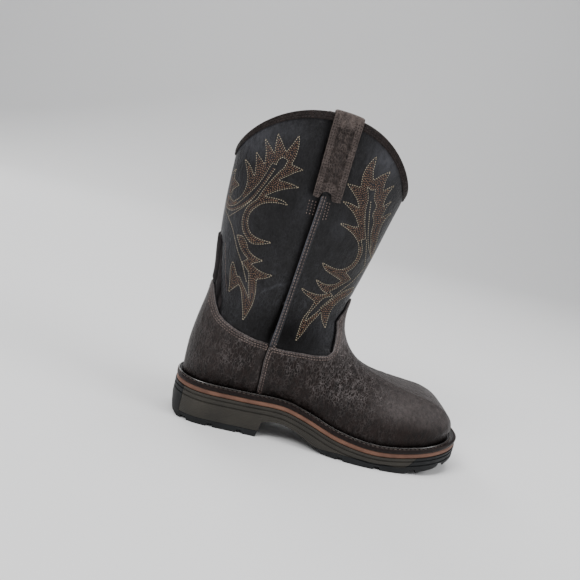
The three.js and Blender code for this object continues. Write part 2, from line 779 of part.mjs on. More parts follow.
// Pull strap: a doubled leg outside, a loop over the collar and a leg inside
const collarPoints = grid[levels].slice(0, halfSteps + 1);
function collarHeight(x) {
  let k = 0;
  while (k < halfSteps - 1 && collarPoints[k + 1].x < x) k++;
  const a = collarPoints[k];
  const b = collarPoints[k + 1];
  return mix(a.z, b.z, (x - a.x) / (b.x - a.x));
}
function strapSolid(side) {
  const off = 2 * clearance;
  const overBinding = bindingThickness + 3.4 * clearance;
  const mid = -wall / 2;
  const legs = [
    { rise: -strapDrop, out: off },
    { rise: -strapDrop * 0.72, out: off },
    { rise: -strapDrop * 0.46, out: off },
    { rise: -bindingDepth * 2.4, out: off },
    { rise: -bindingDepth - 1, out: overBinding },
    { rise: 0, out: overBinding },
  ];
  const sign = side === "outer" ? -1 : 1;
  const rings = [];
  const pointAt = (row, rise, out) => {
    const down = Math.min(Math.max(-rise / strapDrop, 0), 1);
    const half = (strapWidth - strapTaper * down) / 2;
    const x = strapAlong * soleLength - strapLean * down + row.across * half;
    const top = collarHeight(x);
    const y = upperBreadth(side, x, top + Math.min(rise, 0));
    return new THREE.Vector3(x, centreY(x) + sign * (y + out), top + rise);
  };
  const addRing = (place) => {
    const face = (thick) => strapEnd.map((row) => place(row, thick));
    const ring = [...face(0), ...face(strapThickness).reverse()];
    rings.push(side === "outer" ? ring.reverse() : ring);
  };
  legs.forEach((leg, k) => {
    addRing((row, thick) => pointAt(row, leg.rise + (k === 0 ? row.rise : 0), leg.out + thick));
  });
  for (const turn of [0.25, 0.5, 0.75]) {
    addRing((row, thick) => {
      const breadth = wall / 2 + overBinding + thick;
      const rise = (strapLoop + thick) * Math.sqrt(Math.sin(Math.PI * turn));
      const cos = Math.cos(Math.PI * turn);
      return pointAt(row, rise, mid + breadth * Math.sign(cos) * Math.sqrt(Math.abs(cos)));
    });
  }
  const back = legs.slice(2).reverse();
  back.forEach((leg, k) => {
    const last = k === back.length - 1;
    addRing((row, thick) => pointAt(row, last ? -strapInnerDrop : leg.rise, -wall - leg.out - thick));
  });
  return ringSolid(rings, false);
}

// Insole: the board inside the boot, with the filler that closes the welt's ring
function insoleSolid() {
  const layer = layerPrism(clearance, clearance + insoleThickness);
  const board = planPrism(featherInset(-wall - 0.9)).intersect(layer);
  const filling = layerPrism(-weltThickness, clearance + 1);
  return board.add(planPrism(evenInset(weltBand + clearance)).intersect(filling));
}

const root = new THREE.Group();
const boot = new THREE.Group();
boot.position.x = -heelLug;
root.add(boot);

const paint = (color, roughness) => new THREE.MeshStandardMaterial({ color, roughness, metalness: 0 });
const leatherBlack = paint(0x2a2827, 0.5);
const leatherBrown = paint(0x3a2c29, 0.6);
const stretchBlack = paint(0x242122, 0.9);
const linerTan = paint(0x6b5a48, 0.9);
const rubberBlack = paint(0x1b1c1d, 0.7);
const rubberGrey = paint(0x3d3a35, 0.65);
const stripeTan = paint(0x9a5a3f, 0.6);
const weltBrown = paint(0x2c2020, 0.45);

function addSolid(name, solid, material) {
  const mesh = new THREE.Mesh(geometryOf(solid), material);
  mesh.name = name;
  boot.add(mesh);
}

const heelBox = [[-heelLength, -seatHeight], [heelLength * 1.1, -seatHeight],
  [heelLength * 1.1, 2 * seatHeight], [-heelLength, 2 * seatHeight]];
addSolid("tread_heel", blackSolid.intersect(sidePrism(heelBox)), rubberBlack);
addSolid("tread_fore", blackSolid.subtract(sidePrism(heelBox)), rubberBlack);
addSolid("sole_unit", unitSolid, rubberGrey);
addSolid("midsole_stripe", stripeSolid(), stripeTan);
addSolid("welt", weltSolid(), weltBrown);
addSolid("insole", insoleSolid(), linerTan);
addSolid("upper", upperSolid, leatherBlack);
addSolid("vamp", vampSolid(), leatherBrown);
addSolid("counter", counterSolid(), leatherBrown);
addSolid("seam_lap_outer", seamLapSolid(-reach, 0), leatherBlack);
addSolid("seam_lap_inner", seamLapSolid(0, reach), leatherBlack);
addSolid("collar_binding", bindingSolid(), leatherBlack);
addSolid("pull_strap_outer", strapSolid("outer"), leatherBrown);
addSolid("pull_strap_inner", strapSolid("inner"), leatherBrown);
addSolid("gusset_back", gussetSolid(), stretchBlack);

export default root;
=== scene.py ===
# %% [markdown]
# # A western work boot
# The boot in the photo is a pull-on boot for the right foot: a black shaft over a brown vamp and
# counter, on a welt, a terracotta midsole stripe and a rubber sole with black lugs. This lesson
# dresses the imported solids. It uses the same size tables as they do, so each smooth piece lies where
# its solid is. Lengths are typed in millimetres and become metres when a mesh is filled in.

# %% Load the frame
import math

import bmesh
import bpy
import numpy as np
from mathutils import Matrix, Vector


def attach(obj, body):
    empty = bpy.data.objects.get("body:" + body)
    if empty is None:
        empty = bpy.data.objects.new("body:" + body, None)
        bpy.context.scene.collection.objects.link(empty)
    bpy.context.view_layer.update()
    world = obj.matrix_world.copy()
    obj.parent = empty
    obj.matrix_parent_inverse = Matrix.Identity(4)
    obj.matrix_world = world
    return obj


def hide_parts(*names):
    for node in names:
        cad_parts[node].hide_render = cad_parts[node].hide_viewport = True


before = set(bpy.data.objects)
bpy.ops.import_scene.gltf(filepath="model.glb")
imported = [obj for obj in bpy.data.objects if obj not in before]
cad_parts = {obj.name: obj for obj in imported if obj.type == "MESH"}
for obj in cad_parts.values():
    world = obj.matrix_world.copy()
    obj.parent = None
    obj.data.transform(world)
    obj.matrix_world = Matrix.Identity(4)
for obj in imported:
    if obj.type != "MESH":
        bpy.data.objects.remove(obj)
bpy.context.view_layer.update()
MM = 0.001
bpy.ops.object.select_all(action="DESELECT")
print("nodes:", sorted(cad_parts))

# %% [markdown]
# ## Camera
# The camera stands about 0.8 m from the boot, a little above it and a little towards the toe's left,
# and it is rolled so that the toe points down, as in the photo.

# %% Camera
CAMERA = {"azimuth": 5.0, "elevation": 10.9, "roll": 14.1, "distance": 800.0, "focal_px": 797.0}
PHOTO_WIDTH, SENSOR_WIDTH = 580, 36.0
TARGET = Vector((34.0, 0.0, 145.0)) * MM


def camera_matrix():
    az, el, roll = (math.radians(CAMERA[k]) for k in ("azimuth", "elevation", "roll"))
    back = Vector((-math.sin(az) * math.cos(el), -math.cos(az) * math.cos(el), math.sin(el)))
    right = (-back).cross(Vector((0, 0, 1))).normalized()
    up = right.cross(-back)
    x_axis = right * math.cos(roll) + up * math.sin(roll)
    y_axis = up * math.cos(roll) - right * math.sin(roll)
    place = TARGET + back * CAMERA["distance"] * MM
    columns = Matrix((x_axis, y_axis, back)).transposed().to_4x4()
    return Matrix.Translation(place) @ columns


bpy.ops.object.camera_add()
camera = bpy.context.object
camera.name = "camera"
camera.matrix_world = camera_matrix()
camera.data.sensor_width = SENSOR_WIDTH
camera.data.lens = CAMERA["focal_px"] / PHOTO_WIDTH * SENSOR_WIDTH
camera.data.clip_start = 0.05
bpy.context.scene.camera = camera
print("camera at", [round(c, 3) for c in camera.matrix_world.translation])

# %% [markdown]
# ## Floor and light
# The boot stands on a plain pale floor that rises behind it in a soft curve, so no horizon shows.
# Large area lights give the broad, soft reflections that leather shows under a studio box.

# %% Floor
bpy.ops.mesh.primitive_plane_add(size=1.0, location=(0, 0, 0))
floor = bpy.context.object
floor.name = "floor"
floor.scale = (7.0, 5.0, 1.0)
bpy.ops.object.transform_apply(scale=True)
bpy.ops.object.mode_set(mode="EDIT")
bpy.ops.mesh.select_mode(type="EDGE")
bpy.ops.mesh.select_all(action="DESELECT")
bpy.ops.object.mode_set(mode="OBJECT")
for edge in floor.data.edges:
    edge.select = all(floor.data.vertices[k].co.y > 2.4 for k in edge.vertices)
bpy.ops.object.mode_set(mode="EDIT")
bpy.ops.mesh.extrude_region_move(TRANSFORM_OT_translate={"value": (0, 0.0, 3.0)})
bpy.ops.object.mode_set(mode="OBJECT")
curve = floor.modifiers.new("sweep", "BEVEL")
curve.width = 0.9
curve.segments = 16
bpy.ops.object.modifier_apply(modifier="sweep")
bpy.ops.object.shade_smooth()
print("floor faces:", len(floor.data.polygons))

# %% Lights
LIGHTS = [
    # name, place, aimed at, size, watts
    ("key", (-1.1, -1.2, 1.9), (0.02, 0, 0.15), 1.0, 40.0),
    ("toe_side", (1.6, -0.7, 1.3), (0.08, 0, 0.1), 1.0, 20.0),
    ("overhead", (0.3, 0.1, 2.2), (0.03, 0, 0.1), 1.2, 26.0),
    ("back_rim", (-0.9, 1.5, 1.1), (0, 0, 0.2), 1.0, 14.0),
]
for name, place, aim, size, watts in LIGHTS:
    bpy.ops.object.light_add(type="AREA", location=place)
    light = bpy.context.object
    light.name = name
    light.data.size = size
    light.data.energy = watts
    light.rotation_euler = (Vector(aim) - Vector(place)).to_track_quat("-Z", "Y").to_euler()
world = bpy.data.worlds.new("studio")
bpy.context.scene.world = world
world.use_nodes = True
world.node_tree.nodes["Background"].inputs["Color"].default_value = (0.86, 0.87, 0.9, 1)
world.node_tree.nodes["Background"].inputs["Strength"].default_value = 0.4
print("lights:", len(LIGHTS))

# %% [markdown]
# ## Sizes
# The tables below are the maker's measures of the last and the sole. Each is a short list of places
# along the sole, or heights up the shaft, with the breadth there; a smooth curve runs through them.

# %% Sizes of the sole
SOLE_LENGTH = 299.0
BALL_WIDTH = 112.0
TOE_SWING = 7.0
HEEL_LUG = 58.0  # from the back of the sole to the origin
SEAT_HEIGHT = 41.0
WELT_THICKNESS = 4.2
STRIPE_THICKNESS = 4.6
CLEARANCE = 0.3
HEEL_ROUND = 40.0
TOE_ROUND = {-1: 52.0, 1: 34.0}  # -1 is the outer side of the foot, +1 the inner side
PLAN_SQUARENESS = 2.35
WELT_REACH = {"heel": 6.0, "side": 7.5, "toe": 12.0}

SOLE_PLAN = [  # share of the length, outer and inner half breadth as shares of the ball width
    (0.0, 0.318, 0.318), (0.14, 0.338, 0.332), (0.28, 0.345, 0.308), (0.4, 0.365, 0.284),
    (0.52, 0.448, 0.33), (0.64, 0.52, 0.425), (0.74, 0.528, 0.47), (0.86, 0.48, 0.472), (1.0, 0.4, 0.43),
]
SEAT_LINE = [  # share of the length, height of the welt's top as a share of the seat height
    (0.0, 1.03), (0.1, 1.0), (0.25, 1.0), (0.37, 1.01), (0.46, 0.87), (0.56, 0.66),
    (0.68, 0.56), (0.78, 0.6), (0.9, 0.74), (1.0, 0.88),
]
UNDER_LINE = [  # underside in front of the heel, in the same shares
    (0.32, 0.42), (0.37, 0.46), (0.43, 0.36), (0.5, 0.13), (0.555, 0.015), (0.585, 0.0),
    (0.61, 0.0), (0.74, 0.0), (0.78, 0.0), (0.84, 0.07), (0.93, 0.24), (1.0, 0.4),
]


def through(rows, column=1):
    """A smooth curve through the rows of a table, flat beyond its ends."""
    at = np.array([row[0] for row in rows], float)
    value = np.array([row[column] for row in rows], float)
    ahead = np.minimum(np.arange(len(at)) + 1, len(at) - 1)
    behind = np.maximum(np.arange(len(at)) - 1, 0)
    slope = (value[ahead] - value[behind]) / (at[ahead] - at[behind])

    def curve_value(x):
        x = np.clip(np.asarray(x, float), at[0], at[-1])
        k = np.clip(np.searchsorted(at, x, side="left") - 1, 0, len(at) - 2)
        span = at[k + 1] - at[k]
        t = (x - at[k]) / span
        s = 1 - t
        ends = value[k] * s * s * (1 + 2 * t) + value[k + 1] * t * t * (3 - 2 * t)
        return ends + slope[k] * span * t * s * s - slope[k + 1] * span * t * t * s

    return curve_value


def mix(a, b, t):
    return a + (b - a) * t


def ease(t):
    c = np.clip(t, 0, 1)
    return c * c * (3 - 2 * c)


def bell(distance, width):
    """1 on a line, fading to nothing a few widths away from it."""
    return np.exp(-((distance / width) ** 2))


def rounding(depth, power):
    """0 at the rim of a rounded end, 1 from its full depth on."""
    c = 1 - np.clip(depth, 0, 1)
    return np.maximum(1 - c**power, 0) ** (1 / power)


PLAN = {-1: through(SOLE_PLAN, 1), 1: through(SOLE_PLAN, 2)}
SEAT = through(SEAT_LINE)
UNDER = through(UNDER_LINE)


def seat_z(x):
    """Height of the welt's top along the sole."""
    return SEAT(x / SOLE_LENGTH) * SEAT_HEIGHT


def centre_y(x):
    """The sole's centre line, which swings inwards at the toe."""
    return TOE_SWING * (np.asarray(x, float) / SOLE_LENGTH) ** 2


def outline_breadth(side, x, inset):
    """Half breadth of the sole's plan, drawn in from its edge by an inset."""
    full = PLAN[side](x / SOLE_LENGTH) * BALL_WIDTH - inset["side"]
    from_heel = (x - inset["heel"]) / (HEEL_ROUND - inset["heel"])
    from_toe = (SOLE_LENGTH - inset["toe"] - x) / (TOE_ROUND[side] - inset["toe"])
    return full * rounding(from_heel, PLAN_SQUARENESS) * rounding(from_toe, PLAN_SQUARENESS)


print("ball is", round(float(PLAN[-1](0.7) + PLAN[1](0.7)) * BALL_WIDTH, 1), "mm wide")

# %% Sizes of the upper
SHAFT_HEIGHT = 321.0
COLLAR_RISE = 56.0
SHAFT_DEPTH = 88.0
WALL = 2.2
VAMP_THICKNESS = 1.7
COUNTER_THICKNESS = 1.2
BACK_LINE = [  # height share, how far in from the back of the sole as a share of its length
    (0.132, 0.0205), (0.18, 0.0195), (0.24, 0.0215), (0.31, 0.031), (0.39, 0.0455),
    (0.46, 0.0505), (0.55, 0.04), (0.68, 0.031), (0.836, 0.03),
]
FRONT_LINE = [  # share along, share up, depth of the rounding behind this line, its squareness
    (0.96, 0.117, 0.28, 2.5), (0.958, 0.148, 0.28, 2.5), (0.94, 0.18, 0.29, 2.4),
    (0.906, 0.208, 0.31, 2.35), (0.855, 0.227, 0.34, 2.3), (0.795, 0.235, 0.38, 2.2),
    (0.718, 0.243, 0.42, 2.1), (0.643, 0.255, 0.46, 2.05), (0.59, 0.276, 0.5, 2.0),
    (0.548, 0.312, 0.54, 2.0), (0.518, 0.362, 0.58, 2.0), (0.508, 0.414, 0.6, 2.0),
    (0.513, 0.47, 0.62, 2.0), (0.531, 0.54, 0.66, 2.0), (0.554, 0.63, 0.7, 2.05),
    (0.575, 0.72, 0.73, 2.1), (0.593, 0.79, 0.75, 2.1), (0.6, 0.82, 0.76, 2.1),
]
FOOT_PLAN = [  # share along, outer and inner half breadth of the upper over the foot
    (0.0, 0.3, 0.295), (0.15, 0.318, 0.308), (0.32, 0.33, 0.3), (0.48, 0.385, 0.335),
    (0.62, 0.442, 0.405), (0.72, 0.455, 0.44), (0.85, 0.425, 0.445), (1.0, 0.37, 0.41),
]
SHAFT_PLAN = [  # height share, half breadth of the shaft, depth of its rounding at the back
    (0.12, 0.38, 0.34), (0.3, 0.43, 0.36), (0.42, 0.455, 0.5), (0.6, 0.49, 0.64), (0.8, 0.5, 0.72),
    (1.0, 0.48, 0.74),
]
LEVEL_FAN = [(0, 0), (0.15, 0.035), (0.4, 0.11), (0.52, 0.3), (0.62, 0.46), (0.8, 0.72), (1, 1)]
SEAM_LINE = [  # height share, share along: the side seam
    (0.1, 0.2735), (0.2, 0.271), (0.3, 0.2765), (0.36, 0.2837), (0.475, 0.293), (0.63, 0.306),
    (0.77, 0.318), (1.0, 0.326),
]
FEATHER_BLEND = 17.0

BACK_IN = through(BACK_LINE)
FOOT = {-1: through(FOOT_PLAN, 1), 1: through(FOOT_PLAN, 2)}
SHAFT_HALF = through(SHAFT_PLAN, 1)
BACK_ROUND = through(SHAFT_PLAN, 2)
FAN = through(LEVEL_FAN)
SEAM = through(SEAM_LINE)
print("seam at mid shaft:", round(float(SEAM(0.6)) * SOLE_LENGTH, 1), "mm from the back")

# %% [markdown]
# ## The last's front line
# Toe, vamp, instep and shin are one line in the side view. It is drawn as a centripetal spline, as
# the solids' source draws it, and each point of the upper measures its distance to it: near the line
# the leather turns over to the other side, further in it has its full breadth.


# %% Front line
def spline_through(points, count):
    """Points of a centripetal spline through the given ones, with the row that each belongs to."""
    points = np.array(points, float)
    first = [2 * points[0] - points[1]]
    last = [2 * points[-1] - points[-2]]
    p = np.array(first + list(points) + last)
    rows = np.linspace(0, len(points) - 1, count)
    k = np.minimum(rows.astype(int), len(points) - 2)
    t = (rows - k)[:, None]
    a, b, c, d = p[k], p[k + 1], p[k + 2], p[k + 3]
    gap = [np.sqrt(np.linalg.norm(v, axis=1))[:, None] for v in (b - a, c - b, d - c)]
    leave = ((b - a) / gap[0] - (c - a) / (gap[0] + gap[1]) + (c - b) / gap[1]) * gap[1]
    arrive = ((c - b) / gap[1] - (d - b) / (gap[1] + gap[2]) + (d - c) / gap[2]) * gap[1]
    s = 1 - t
    ends = b * s * s * (1 + 2 * t) + c * t * t * (3 - 2 * t)
    return ends + leave * t * s * s - arrive * t * t * s, rows / (len(points) - 1)


def sized(rows):
    """Points of the side view in millimetres, from shares of the length and the height."""
    return [(a * SOLE_LENGTH, u * SHAFT_HEIGHT) for a, u in rows]


FRONT_FINE, FRONT_ROWS = spline_through(sized(row[:2] for row in FRONT_LINE), 4001)
FRONT_ARC = np.r_[0, np.cumsum(np.linalg.norm(np.diff(FRONT_FINE, axis=0), axis=1))]
EVEN = np.linspace(0, FRONT_ARC[-1], 241)
FRONT_X = np.interp(EVEN, FRONT_ARC, FRONT_FINE[:, 0])
FRONT_Z = np.interp(EVEN, FRONT_ARC, FRONT_FINE[:, 1])
FRONT_AT = np.interp(EVEN, FRONT_ARC, FRONT_ROWS)
ROW_PLACES = np.linspace(0, 1, len(FRONT_LINE))
FRONT_ROUND = through([(at, row[2]) for at, row in zip(ROW_PLACES, FRONT_LINE)])
FRONT_SQUARE = through([(at, row[3]) for at, row in zip(ROW_PLACES, FRONT_LINE)])


def nearest_front(x, z):
    """Distance of points of the side view from the front line, and where along it they are."""
    step_x, step_z = np.diff(FRONT_X), np.diff(FRONT_Z)
    square = step_x**2 + step_z**2
    distance, at = np.empty(x.size), np.empty(x.size)
    for start in range(0, x.size, 20000):
        part = slice(start, start + 20000)
        from_x = x[part, None] - FRONT_X[:-1]
        from_z = z[part, None] - FRONT_Z[:-1]
        t = np.clip((from_x * step_x + from_z * step_z) / square, 0, 1)
        away = (from_x - step_x * t) ** 2 + (from_z - step_z * t) ** 2
        k = away.argmin(1)
        row = np.arange(k.size)
        distance[part] = np.sqrt(away[row, k])
        at[part] = mix(FRONT_AT[k], FRONT_AT[k + 1], t[row, k])
    return distance, at


def upper_breadth(side, x, z):
    """Half breadth of the upper at points of the side view."""
    x, z = np.broadcast_arrays(np.asarray(x, float), np.asarray(z, float))
    shape = x.shape
    x, z = x.ravel(), z.ravel()
    up = z / SHAFT_HEIGHT
    foot = FOOT[side](x / SOLE_LENGTH) * BALL_WIDTH
    full = mix(foot, SHAFT_HALF(up) * SHAFT_DEPTH, ease((up - 0.25) / 0.25))
    distance, at = nearest_front(x, z)
    front = rounding(distance / (FRONT_ROUND(at) * BALL_WIDTH), FRONT_SQUARE(at))
    back = rounding((x - BACK_IN(up) * SOLE_LENGTH) / (BACK_ROUND(up) * BALL_WIDTH), 2.1)
    feather = outline_breadth(side, x, WELT_REACH)
    above = ease((z - seat_z(x) - CLEARANCE) / FEATHER_BLEND)
    return mix(feather, full * front * back, above).reshape(shape)


print("front line is", round(FRONT_ARC[-1], 1), "mm long")

# %% [markdown]
# ## Level lines
# The upper is a net of level lines, from the feather line at the welt to the collar. Each one runs
# from the back round one side to the front; in the side view it is nearly straight low down and
# domed at the collar. Columns are spaced evenly along the leather, with one on the side seam.


# %% Level lines
def level_line(level):
    """One level line of the side view: gives x and z for places from its back (0) to its front (1)."""
    share = level**1.2
    arc = share * FRONT_ARC[-1]
    front = [np.interp(arc, FRONT_ARC, FRONT_FINE[:, c]) for c in (0, 1)]
    up = mix(BACK_LINE[0][0], BACK_LINE[-1][0], float(FAN(share)))
    back = [float(BACK_IN(up)) * SOLE_LENGTH, up * SHAFT_HEIGHT]
    first = ease(1 - level / 0.012)
    front[0] = mix(front[0], SOLE_LENGTH - WELT_REACH["toe"], first)
    back[0] = mix(back[0], WELT_REACH["heel"], first)
    foot_back, foot_front = BACK_LINE[0][0] * SHAFT_HEIGHT, FRONT_LINE[0][1] * SHAFT_HEIGHT
    sag = max(1 - share / 0.42, 0) ** 1.6
    dome = COLLAR_RISE * float(ease((share - 0.6) / 0.4))

    def place(t):
        x = mix(back[0], front[0], t)
        hang = seat_z(x) + CLEARANCE - mix(foot_back, foot_front, t)
        across = np.minimum(np.abs(2 * t - 1), 1)
        rear_arch = np.maximum(1 - across**2, 0) ** 0.66
        front_arch = np.maximum(1 - across**2.5, 0) ** 0.78
        arch = np.where(t < 0.5, rear_arch, front_arch)
        return x, mix(back[1], front[1], t) + sag * hang + dome * arch

    return place


def half_ring(level, side, behind, ahead):
    """Points of one side of a level line: some behind the seam, the rest ahead of it."""
    place = level_line(level)
    t = (1 - np.cos(np.linspace(0, math.pi, 261))) / 2
    x, z = place(t)
    y = side * upper_breadth(side, x, z)
    arc = np.r_[0, np.cumsum(np.sqrt(np.diff(x) ** 2 + np.diff(y) ** 2 + np.diff(z) ** 2))]
    past = x - SEAM(z / SHAFT_HEIGHT) * SOLE_LENGTH
    k = int(np.argmax(past > 0))
    seam_arc = mix(arc[k - 1], arc[k], -past[k - 1] / (past[k] - past[k - 1]))
    stops = np.r_[np.linspace(0, seam_arc, behind + 1)[:-1], np.linspace(seam_arc, arc[-1], ahead + 1)]
    t = np.interp(stops, arc, t)
    x, z = place(t)
    breadth = upper_breadth(side, x, z)
    breadth[0], breadth[-1] = 0, 0
    return np.stack([x, centre_y(x) + side * breadth, z], 1)


def upper_net(levels, behind, ahead):
    """The whole outer surface: one row a level, each a ring from the back round the outer side."""
    rows = []
    for level in levels:
        outer = half_ring(level, -1, behind, ahead)
        inner = half_ring(level, 1, behind, ahead)
        rows.append(np.concatenate([outer, inner[-2:0:-1]]))
    return np.array(rows)


def net_normals(net):
    """Outward directions of a net of rings."""
    along = np.roll(net, -1, 1) - np.roll(net, 1, 1)
    above = np.concatenate([net[1:], net[-1:]])
    below = np.concatenate([net[:1], net[:-1]])
    normal = np.cross(along, above - below)
    normal[0, :, 2] = 0
    return normal / np.maximum(np.linalg.norm(normal, axis=2, keepdims=True), 1e-9)


sample = upper_net([0.0, 0.5, 1.0], 10, 20)
print("collar height:", round(float(sample[2, :, 2].max()), 1), "mm")

# %% [markdown]
# ## Materials
# Each finish is built from a few noise and cell patterns in Object coordinates, so its grain has a
# real size. Oiled leather is nearly black with soft, cloudy gloss; the brown pull-up leather pales
# where it is bent. Rubber is matt, the welt is waxed, and the thread is a twisted polyester.


# %% Node helper
def hex_colour(code):
    """An sRGB hex colour in linear values."""
    parts = [int(code[k : k + 2], 16) / 255 for k in (1, 3, 5)]
    return [c / 12.92 if c <= 0.04045 else ((c + 0.055) / 1.055) ** 2.4 for c in parts] + [1.0]


def new_material(name):
    material = bpy.data.materials.new(name)
    material.use_nodes = True
    return material, material.node_tree.nodes["Principled BSDF"]


def add(material, kind, inputs, **settings):
    """Adds a node with its settings; inputs are values or sockets to link."""
    node = material.node_tree.nodes.new(kind)
    for key, value in settings.items():
        setattr(node, key, value)
    for socket, value in inputs.items():
        if isinstance(value, bpy.types.NodeSocket):
            material.node_tree.links.new(value, node.inputs[socket])
        else:
            node.inputs[socket].default_value = value
    return node


def link(material, socket, target):
    material.node_tree.links.new(socket, target)


def per_metre(mm):
    """Scale of a pattern whose cells are that many millimetres wide."""
    return 1000.0 / mm


print("helper ready")


# %% Leathers
FOLD_MM = 2.1  # size of the fine folds where leather is bent


def leather(name, dark, light, pale_tone, grain_mm, grain_depth, crinkle, roughness, shine, flex):
    """Leather with pores, cloudy colour and, where the attribute flex says so, fine pale folds; it pales
    with real wear and painted sheen, and darkens with painted shade.
    """
    material, shader = new_material(name)
    place = add(material, "ShaderNodeTexCoord", {}).outputs["Object"]
    inputs = {"Vector": place, "Scale": (1.0, 1.0, 0.45)}
    upright = add(material, "ShaderNodeMapping", inputs).outputs["Vector"]
    # attributes: one for bending, one for real wear with painted sheen, one for painted shade
    painted = {}
    for key in ("flex", "rubbed", "shade"):
        painted[key] = add(material, "ShaderNodeAttribute", {}, attribute_name=key).outputs["Fac"]
    noise = {}
    for key, source, width, detail, rough in (
        ("cloud", place, 38, 5.0, 0.6), ("fleck", upright, 3.6, 4.0, 0.65),
        ("lumps", upright, 6.5, 4.0, 0.7), ("warp", place, 7, 2.0, 0.5),
    ):
        inputs = {"Vector": source, "Scale": per_metre(width), "Detail": detail, "Roughness": rough}
        noise[key] = add(material, "ShaderNodeTexNoise", inputs).outputs
    cloud, fleck, lumps = (noise[key]["Fac"] for key in ("cloud", "fleck", "lumps"))
    inputs = {"Factor": 0.005, 4: upright, 5: noise["warp"]["Color"]}
    bent = add(material, "ShaderNodeMix", inputs, data_type="VECTOR").outputs[1]
    cells = {}
    for key, source, width in (("pores", place, grain_mm), ("folds", bent, FOLD_MM)):
        inputs = {"Vector": source, "Scale": per_metre(width), "Randomness": 1.0}
        node = add(material, "ShaderNodeTexVoronoi", inputs, feature="DISTANCE_TO_EDGE")
        cells[key] = node.outputs["Distance"]

    # each row brings one pattern from its own range to the range that the finish needs
    ranged = {}
    for key, source, low, high, to_low, to_high in (
        ("broad", cloud, 0.35, 0.68, 0.0, 0.6),
        ("small", fleck, 0.4, 0.62, 0.0, 0.8),
        ("patch", lumps, 0.4, 0.62, 0.15, 1.0),
        ("dusty", fleck, 0.3, 0.6, 0.55, 1.25),
        ("thin", cells["folds"], 0.0, 0.16, 1.0, 0.0),
        ("gloss", lumps, 0.0, 1.0, roughness - 0.12, roughness + 0.12),
        ("sheen", painted["shade"], 0.0, 1.0, shine, 0.03),
    ):
        inputs = {"Value": source, "From Min": low, "From Max": high, "To Min": to_low, "To Max": to_high}
        ranged[key] = add(material, "ShaderNodeMapRange", inputs).outputs["Result"]

    # pale places: the thin folds where the leather bends, real wear, and painted sheen
    pale = painted["flex"]
    for factor in (ranged["thin"], ranged["patch"], flex):
        pale = add(material, "ShaderNodeMath", {0: pale, 1: factor}, operation="MULTIPLY").outputs[0]
    inputs = {0: painted["rubbed"], 1: ranged["dusty"]}
    rubbed = add(material, "ShaderNodeMath", inputs, operation="MULTIPLY").outputs[0]
    sums = []
    for inputs in ({0: ranged["broad"], 1: ranged["small"]}, {0: pale, 1: rubbed}):
        node = add(material, "ShaderNodeMath", inputs, operation="ADD", use_clamp=True)
        sums.append(node.outputs[0])
    # colour: cloudy tone, then the pale tone for wear and painted sheen, then painted shade towards near
    # black; painted shade also lowers the specular level
    colour = hex_colour(dark)
    for factor, over in ((sums[0], light), (sums[1], pale_tone), (painted["shade"], "#040303")):
        inputs = {"Factor": factor, 6: colour, 7: hex_colour(over)}
        colour = add(material, "ShaderNodeMix", inputs, data_type="RGBA").outputs[2]
    link(material, colour, shader.inputs["Base Color"])
    link(material, ranged["gloss"], shader.inputs["Roughness"])
    link(material, ranged["sheen"], shader.inputs["Specular IOR Level"])

    # relief: pores, then folds, then the soft crinkle over both
    below = {}
    for strength, depth, height in (
        (0.7, grain_depth, cells["pores"]), (painted["flex"], 1.3, cells["folds"]), (0.8, crinkle, lumps),
    ):
        inputs = {"Strength": strength, "Distance": depth * MM, "Height": height, **below}
        below = {"Normal": add(material, "ShaderNodeBump", inputs).outputs["Normal"]}
    link(material, below["Normal"], shader.inputs["Normal"])
    return material


# oiled black leather: nearly black, small pores; its cool grey is the painted sheen where light grazes it,
# and real wear
BLACK_LEATHER = leather(
    "oiled_black_leather", "#060506", "#121113", "#606168", 0.9, 0.3, 2.6, 0.36, 0.27, 0.35
)
# pull-up leather: dark brown wax leather whose bends pale, coarser grain; its pale grey also paints the
# sheen on the toe
BROWN_LEATHER = leather(
    "brown_pull_up_leather", "#0a0504", "#1a100d", "#77706f", 1.5, 0.6, 3.6, 0.43, 0.2, 0.7
)
# pebbled strap leather: the same hide, milled until its grain stands up; its pale tone also paints a
# highlight on the binding's crest
STRAP_LEATHER = leather(
    "pebbled_strap_leather", "#0f0a09", "#231b19", "#6f635e", 2.6, 1.6, 3.6, 0.5, 0.2, 1.0
)
print("leathers:", BLACK_LEATHER.name, BROWN_LEATHER.name, STRAP_LEATHER.name)


# %% Waxed welt, rubber, midsole, lining and thread
def plain(name, dark, light, cloud_mm, roughness, bump_mm, bump_depth, coat=0.0, shine=0.3):
    """A moulded or woven finish: two near colours, one fine relief."""
    material, shader = new_material(name)
    place = add(material, "ShaderNodeTexCoord", {}).outputs["Object"]
    patterns = []
    for width, detail in ((cloud_mm, 4.0), (bump_mm, 3.0)):
        inputs = {"Vector": place, "Scale": per_metre(width), "Detail": detail}
        patterns.append(add(material, "ShaderNodeTexNoise", inputs).outputs["Fac"])
    cloud, grit = patterns
    inputs = {"Value": cloud, "From Min": 0.35, "From Max": 0.65}
    shade = add(material, "ShaderNodeMapRange", inputs).outputs["Result"]
    inputs = {"Factor": shade, 6: hex_colour(dark), 7: hex_colour(light)}
    colour = add(material, "ShaderNodeMix", inputs, data_type="RGBA").outputs[2]
    link(material, colour, shader.inputs["Base Color"])
    inputs = {"Value": grit, "To Min": roughness - 0.06, "To Max": roughness + 0.08}
    gloss = add(material, "ShaderNodeMapRange", inputs).outputs["Result"]
    link(material, gloss, shader.inputs["Roughness"])
    shader.inputs["Specular IOR Level"].default_value = shine
    shader.inputs["Coat Weight"].default_value = coat
    shader.inputs["Coat Roughness"].default_value = 0.25
    inputs = {"Strength": 0.6, "Distance": bump_depth * MM, "Height": grit}
    relief = add(material, "ShaderNodeBump", inputs).outputs["Normal"]
    link(material, relief, shader.inputs["Normal"])
    return material


